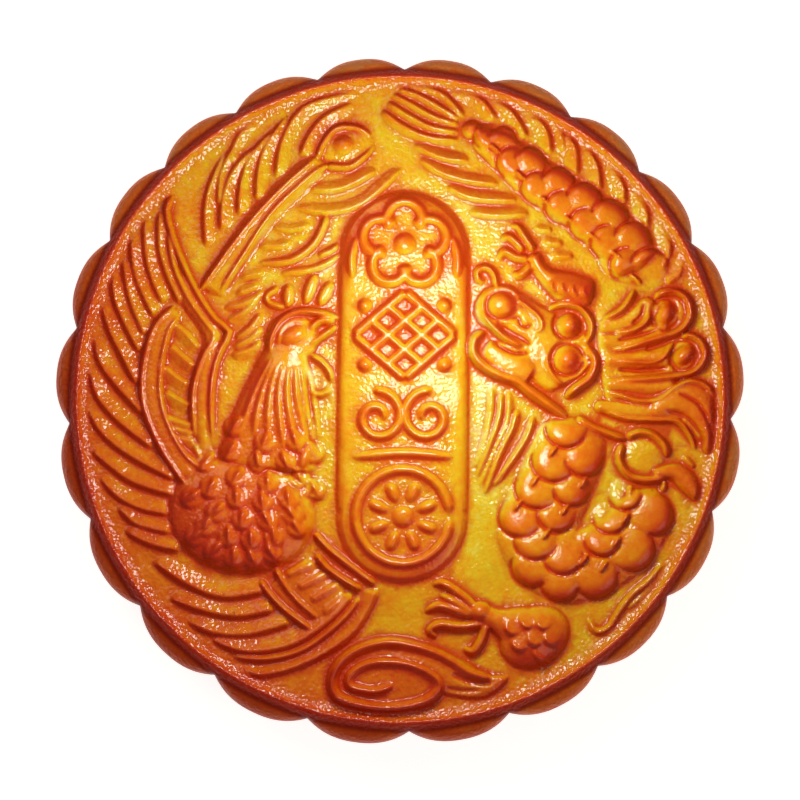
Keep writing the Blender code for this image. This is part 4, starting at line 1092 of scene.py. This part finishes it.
profile = [(share * (NOTCH_RADIUS - SAG_INSET - FOOT_INSET),
            PETAL_DEPTH * (1 - FOOT_FLATTENING) * share ** 6, 0.0) for share in BASE_SHARES]
for share in np.linspace(1, 0, 9):
    quarter = share * math.pi / 2
    profile.append((NOTCH_RADIUS - SAG_INSET - FOOT_INSET * (1 - math.cos(quarter)),
                    PETAL_DEPTH * (1 - FOOT_FLATTENING * share), FOOT * (1 - math.sin(quarter))))
for height in np.linspace(FOOT, FIELD_HEIGHT - SHOULDER, 26)[1:-1]:
    lean = np.clip((SAG_HEIGHT - height) / (SAG_HEIGHT - FOOT), -1, 1)
    profile.append((NOTCH_RADIUS - SAG_INSET * (0.5 + 0.5 * lean) ** 1.5, PETAL_DEPTH, height))
for share in np.linspace(1, 0, 15):
    quarter = share * math.pi / 2
    profile.append((CREASE_RADIUS + (NOTCH_RADIUS - CREASE_RADIUS) * math.sin(quarter),
                    PETAL_DEPTH * math.sin(quarter),
                    FIELD_HEIGHT - SHOULDER * (1 - math.cos(quarter))))
profile_mesh = bpy.data.meshes.new("profile")
profile_mesh.from_pydata(profile, [(k, k + 1) for k in range(len(profile) - 1)], [])
profile_holder = on_stage("profile", profile_mesh)
print(len(profile), "rows from the middle of the base to the crease")

# %% Petalled cake tree
WELD = 0.00003                   # metres


def cake_tree():
    bench = Bench("petalled_cake", [
        ("Pressed sheet", "Geometry"), ("Profile", "Object"), ("Cells", "Int", 300),
        ("Field height", "Float", FIELD_HEIGHT), ("Crease radius", "Float", CREASE_RADIUS),
        ("Petals", "Float", 22.0), ("Petal roundness", "Float", 2.4),
        ("Petal drift", "Float", 4.5), ("Drift from", "Float", -15.0),
        ("Petal start", "Float", 7.9)])
    place, index = bench.get("GeometryNodeInputPosition"), bench.get("GeometryNodeInputIndex")

    def sheet_height(x, y):
        return bench.look_down(bench["Pressed sheet"], bench.join(x, y, RAY_START))[0]

    def choose(test, yes, no):
        return bench.get("GeometryNodeSwitch", {"Switch": test, "False": no, "True": yes},
                         input_type="FLOAT")

    def moved(geometry, x, y, z):
        return bench.get("GeometryNodeSetPosition", {
            "Geometry": geometry, "Position": bench.join(x, y, z).grow(MM)})

    # The face: a square eased into a disc.
    corners = bench["Cells"] + 1
    face = bench.get("GeometryNodeMeshGrid", {
        "Size X": 2, "Size Y": 2, "Vertices X": corners, "Vertices Y": corners})
    a, b, _ = bench.split(place)
    beside, above = b / a * (math.pi / 4), a / b * (math.pi / 4)
    wide = bench.get("FunctionNodeCompare", {0: abs(a), 1: abs(b)},
                     data_type="FLOAT", operation="GREATER_EQUAL")
    x = choose(wide, a * beside.cos(), b * above.sin()) * bench["Crease radius"]
    y = choose(wide, a * beside.sin(), b * above.cos()) * bench["Crease radius"]
    face = moved(face, x, y, bench["Field height"] + sheet_height(x, y))

    # The wall: columns round the cake, rows from the profile.
    outline = bench.get("GeometryNodeObjectInfo", {"Object": bench["Profile"]}, output="Geometry")
    rows = bench.get("GeometryNodeAttributeDomainSize", {"Geometry": outline},
                     output="Point Count", component="MESH")
    columns = bench["Cells"] * 4
    wall = bench.get("GeometryNodeMeshGrid", {
        "Size X": 1, "Size Y": 1, "Vertices X": columns + 1, "Vertices Y": rows})
    column = ((index + 0.5) / rows).floor()
    row = index - column * rows
    angle = column / columns * (2 * math.pi) - math.pi / 4
    drift = bench["Petal drift"] * (angle - bench["Drift from"].radians()).cos()
    turn = angle.degrees() + bench["Petal start"] - drift
    across = abs((turn * (bench["Petals"] / 360.0)).fraction() * 2.0 - 1.0)
    bulge = 1 - across ** bench["Petal roundness"]
    notch, depth, level = bench.split(bench.get(
        "GeometryNodeSampleIndex", {"Geometry": outline, "Value": place, "Index": row},
        data_type="FLOAT_VECTOR", domain="POINT"))
    out = notch + depth * bulge
    x, y = out * angle.cos(), out * angle.sin()
    near_top = level.above(bench["Field height"] - SHOULDER)
    wall = moved(wall, x, y, level + near_top * sheet_height(x, y))

    both = add_node(bench.tree, "GeometryNodeJoinGeometry")
    for part in (face, wall):
        bench.tree.links.new(part.socket, both.inputs[0])
    return bench.done(bench.get("GeometryNodeMergeByDistance", {
        "Geometry": both.outputs[0], "Distance": WELD}))


CAKE_TREE = cake_tree()

# %% Build and thin the cake
CELLS = 460
MOST_TRIANGLES = 194000
BASE_LEVEL = 0.01                # millimetres

rows, columns = np.indices((SHEET_POINTS - 1, SHEET_POINTS - 1))
first = (rows * SHEET_POINTS + columns).ravel()
squares = np.stack([first, first + 1, first + SHEET_POINTS + 1, first + SHEET_POINTS], 1)
sheet_mesh = bpy.data.meshes.new("pressed_sheet")
sheet_mesh.from_pydata(np.stack([grid_x.ravel(), grid_y.ravel(), relief.ravel()], 1), [], squares)
fine = run_tree(CAKE_TREE, sheet_mesh, "mooncake_crust", Profile=profile_holder, Cells=CELLS)
bpy.data.objects.remove(profile_holder)
bpy.data.meshes.remove(profile_mesh)
triangles = sum(len(face.vertices) - 2 for face in fine.polygons)
cake = on_stage("mooncake_crust", fine)
cake.modifiers.new("Thin", "DECIMATE").ratio = min(1.0, MOST_TRIANGLES / triangles)
thinned = finished_mesh(cake)
cake.data = thinned
bpy.data.meshes.remove(fine)
thinned.name = "mooncake_crust"
middles = read(thinned.polygons, "center") / MM
thinned.shade_smooth()
thinned.polygons.foreach_set("use_smooth", middles[:, 2] > BASE_LEVEL)      # the base stays flat
print("cake:", triangles, "triangles thinned to", len(thinned.polygons))

# %% [markdown]
# ## How brown each spot is, with painted shade and highlight
# The egg wash browns most where the dough stands out towards the heat. The
# creases beside raised lines are dark red, partly where the brush leaves a
# little pool and partly painted shade. Slopes that turn away from the spot under
# the low lamp get painted shade in dark red, and slopes that face it are painted
# paler, a painted highlight. The level field stays gold, palest in the middle of
# the face, and the rim takes the most heat; its outer flank is dark red, partly
# browning and partly painted shade. Face and side are darker towards the lower
# left. The side is darker below its shoulder, has painted shade in the notches,
# is paler round its waist, and the base is pale with a browner edge. These
# amounts follow the relief, so they are worked out from the table and stored on
# the cake's points: in the colour stored on them, red holds the browning with the
# painted highlight, green the creases with the painted shade and blue how far a
# spot lies outside the face, and `pebbled` says how rough the skin is, because
# the backs of the raised bodies come out of the oven smoother than the field.

# %% Browning and painted light of the face
LAMP_FOOT_X, LAMP_FOOT_Y = 6.0, 18.0       # the spot under the low lamp
away_x, away_y = grid_x - LAMP_FOOT_X, grid_y - LAMP_FOOT_Y
away = np.maximum(np.hypot(away_x, away_y), 1.0)


def slopes(table):
    """How steep a table is, and how far each slope looks away from the spot under the low lamp."""
    slope_y, slope_x = np.gradient(table, SHEET_STEP)
    return np.hypot(slope_x, slope_y), -(slope_x * away_x + slope_y * away_y) / away


steepness, turn_from_lamp = slopes(relief)
broad_turn_from_lamp = slopes(soften(relief, 1.3))[1]
steep = np.clip(steepness / 1.3, 0, 1)
standing = ease(relief, 0.15, 2.8)
proud = relief - soften(relief, 1.6)
lower_left = ease(-(grid_x * 0.75 + grid_y * 0.66), -20, 75)
# Browning, darker towards the lower left, with a painted highlight: slopes that face the spot under
# the low lamp are made paler.
brown_and_lamp_paling = (0.14 + 0.24 * standing + 0.26 * steep + 0.06 * np.clip(proud, 0, 1)
         + 0.20 * np.clip((radius / 66) ** 2, 0, 1.2) + 0.28 * lower_left
         + 0.16 * ease(radius, 66, 70) - 0.06 * (1 - ease(radius, 10, 45))
         - 0.45 * np.clip(-turn_from_lamp - 0.08, 0, 0.8))
# Dark red: in creases partly where egg wash pools and partly painted shade; on slopes that turn
# away from the spot under the low lamp, painted shade.
crease = (np.clip(-3.9 * (relief - soften(relief, 0.7)) - 0.09, 0, 1) + 0.08 * steep
          + 0.75 * np.clip(turn_from_lamp, 0, 1.2)
          + 1.5 * np.clip(broad_turn_from_lamp - 0.06, 0, 0.6) * ease(radius, 12, 34))
# The rim's outer flank, made dark red: partly browning, partly painted shade.
flank = (ease(radius, CREST_RADIUS, CREST_RADIUS + 0.5)
         * (1 - ease(radius, CREASE_RADIUS + 0.2, CREASE_RADIUS + 1.3)))
smooth_back = np.maximum(ease(relief, 0.9, 2.6),
                         ease(relief, 0.5, 1.4) * (1 - ease(radius, 40, 58)))
smooth_back = smooth_back * ease(proud, -0.3, 0.3) * (1 - ease(radius, 62, 66))
pebbled = 1 - 0.8 * smooth_back + 0.7 * ease(radius, 64, 68)

# %% Browning and painted light at every point
spots = read(thinned.vertices, "co").astype(float) / MM
height, reach = spots[:, 2], np.hypot(spots[:, 0], spots[:, 1])
below = FIELD_HEIGHT - height


def at_spots(table):
    """Read a table at every point of the cake."""
    place = np.clip((spots[:, :2] + SHEET_HALF) / SHEET_STEP, 0, SHEET_POINTS - 1.001)
    j, i = place.astype(int).T
    u, v = place[:, 0] - j, place[:, 1] - i
    low = table[i, j] * (1 - u) + table[i, j + 1] * u
    high = table[i + 1, j] * (1 - u) + table[i + 1, j + 1] * u
    return low * (1 - v) + high * v


side = np.maximum(ease(reach, CREST_RADIUS + 0.2, CREASE_RADIUS + 0.3),
                  np.clip((below - 2.0) / 3.0, 0, 1))
low = ease(below, 1.2, 7.0)
wall_notch, wall_depth, wall_height = np.array(profile[len(BASE_SHARES):]).T
bulge = ((reach - np.interp(height, wall_height, wall_notch))
         / np.maximum(np.interp(height, wall_height, wall_depth), 0.4))
# Painted shade in the notches between the petals.
notched = 1 - ease(bulge, 0.05, 0.55)
waist = ease(below, 6, 14) * ease(height, 2, 9)
base = 1 - ease(height, 0.5, 3.5)
face_brown_and_lamp_paling = np.clip(at_spots(soften(brown_and_lamp_paling, 0.3)), 0, 1)
side_brown_and_notch_shade = np.clip(0.14 + 0.45 * low + 0.42 * at_spots(lower_left)
                     + 0.32 * notched - 0.55 * waist, 0, 1)
side_brown_and_notch_shade = side_brown_and_notch_shade * (1 - base) + (0.04 + 0.36 * ease(reach, 56, 71)) * base
# Dark red for the creases and painted shade on the face, and for the rim's outer flank.
dark = np.clip(at_spots(crease), 0, 1) * (1 - side) + at_spots(flank) * np.clip(1 - low, 0, 1)
amounts = np.stack([face_brown_and_lamp_paling * (1 - side) + side_brown_and_notch_shade * side, np.clip(dark, 0, 1), side,
                    np.ones(len(spots))], 1)
thinned.attributes.new("pebbled", "FLOAT", "POINT").data.foreach_set(
    "value", np.clip(at_spots(pebbled), 0, 1.7))
thinned.attributes.new("bake_and_painted_light", "FLOAT_COLOR", "POINT").data.foreach_set("color", amounts.ravel())
print("browning from", round(float(amounts[:, 0].min()), 2),
      "to", round(float(amounts[:, 0].max()), 2))

# %% [markdown]
# ## The crust
# Baked syrup dough is a fine-grained, slightly translucent brown skin under a
# thin hard coat of egg. The colour runs from pale gold to red-brown with the
# stored browning, which also holds a painted highlight, broken up by soft
# blotches; creases and painted shade pull it to dark red. The grain is a pebbled
# bump of about half a millimetre, and the egg coat breaks the lamp's reflection
# into small glints on it. The brush doesn't reach the side, so a second crust
# without the coat covers it.

# %% Crust material
tree = crust.node_tree
shader = tree.nodes["Principled BSDF"]
place = add_node(tree, "ShaderNodeTexCoord").outputs["Object"]


def noise(scale, detail):
    """A soft random pattern in the cake's own coordinates."""
    node = add_node(tree, "ShaderNodeTexNoise", {"Vector": place, "Scale": scale, "Detail": detail})
    return Wire(tree, node.outputs["Fac"])


def ramp(value, stops):
    """A colour ramp from (place, linear colour) pairs."""
    node = add_node(tree, "ShaderNodeValToRGB", {"Fac": value})
    band = node.color_ramp
    while len(band.elements) < len(stops):
        band.elements.new(0.5)
    for element, (position, colour) in zip(band.elements, stops):
        element.position = position
        element.color = (*colour, 1)
    return node.outputs["Color"]


def mixed(factor, a, b):
    """Two colours mixed by a factor from 0 to 1."""
    node = add_node(tree, "ShaderNodeMix", {0: factor, 6: a, 7: b}, data_type="RGBA")
    return node.outputs[2]


def bumped(height, strength, distance, normal=None):
    """A bump on top of another."""
    inputs = {"Height": height, "Strength": strength, "Distance": distance}
    if normal is not None:
        inputs["Normal"] = normal
    return add_node(tree, "ShaderNodeBump", inputs).outputs[0]


BLOTCHES, FLECKS = 0.45, 0.34    # how far broad and fine patches shift the browning
# How far creases and painted shade pull the colour to dark red.
CREASE_AND_SHADE_STRENGTH = 0.88
stored = add_node(tree, "ShaderNodeAttribute", attribute_name="bake_and_painted_light").outputs["Color"]
split = add_node(tree, "ShaderNodeSeparateColor", {0: stored})
stored_brown_and_paling, creased_and_shaded, outside = [Wire(tree, socket) for socket in split.outputs]
uneven = (noise(90.0, 3.0) - 0.5) * BLOTCHES + (noise(700.0, 3.0) - 0.5) * FLECKS
# Browning with the painted highlight, broken up by blotches.
browning = (stored_brown_and_paling + uneven).clip()
face_colour = ramp(browning, [
    (0.0, (0.76, 0.72, 0.28)), (0.1, (0.69, 0.56, 0.060)), (0.22, (0.68, 0.44, 0.008)),
    (0.38, (0.70, 0.30, 0.003)), (0.55, (0.70, 0.165, 0.002)), (0.78, (0.63, 0.068, 0.002)),
    (1.0, (0.42, 0.018, 0.002))])
side_colour = ramp(browning, [
    (0.0, (0.60, 0.200, 0.045)), (0.2, (0.70, 0.130, 0.014)), (0.5, (0.56, 0.062, 0.009)),
    (1.0, (0.32, 0.018, 0.007))])
# Dark red for creases and painted shade, darker on the side.
crease_and_shade_red = mixed(outside, (0.50, 0.020, 0.003, 1), (0.26, 0.009, 0.004, 1))
colour = mixed(creased_and_shaded * CREASE_AND_SHADE_STRENGTH, mixed(outside, face_colour, side_colour), crease_and_shade_red)

pebbled_skin = add_node(tree, "ShaderNodeAttribute", attribute_name="pebbled")
pebbling = Wire(tree, pebbled_skin.outputs["Fac"])
grain = noise(2200.0, 3.0)
bump = bumped(noise(1300.0, 0.0) * pebbling, 0.5, 0.0003)
bump = bumped(grain, 0.4, 0.0001, bump)
bump = bumped(noise(500.0, 2.0) * pebbling, 0.3, 0.0004, bump)
for label, value in (("Base Color", colour), ("Normal", bump), ("Coat Normal", bump),
                     ("Roughness", (grain * 0.25 + 0.30).socket)):
    tree.links.new(value, shader.inputs[label])
set_inputs(shader, {"Specular IOR Level": 0.06, "Specular Tint": (1.0, 0.8, 0.5, 1),
                    "Coat Weight": 0.7, "Coat Roughness": 0.13})
print("crust has", len(tree.nodes), "nodes")

# %% Dry crust on the side
side_crust = crust.copy()
side_crust.name = "dry_side_crust"
set_inputs(side_crust.node_tree.nodes["Principled BSDF"], {
    "Coat Weight": 0.0, "Specular IOR Level": 0.10, "Specular Tint": (1.0, 0.55, 0.25, 1)})
thinned.materials.clear()
for material in (crust, side_crust):
    thinned.materials.append(material)
on_side = ((np.hypot(middles[:, 0], middles[:, 1]) > CREST_RADIUS + 0.4)
           | (middles[:, 2] < FIELD_HEIGHT - 3.0))
thinned.polygons.foreach_set("material_index", on_side.astype(np.int32))
print(int(on_side.sum()), "faces are dry")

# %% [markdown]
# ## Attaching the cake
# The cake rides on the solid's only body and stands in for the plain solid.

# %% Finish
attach(cake, "root")
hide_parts("mooncake")
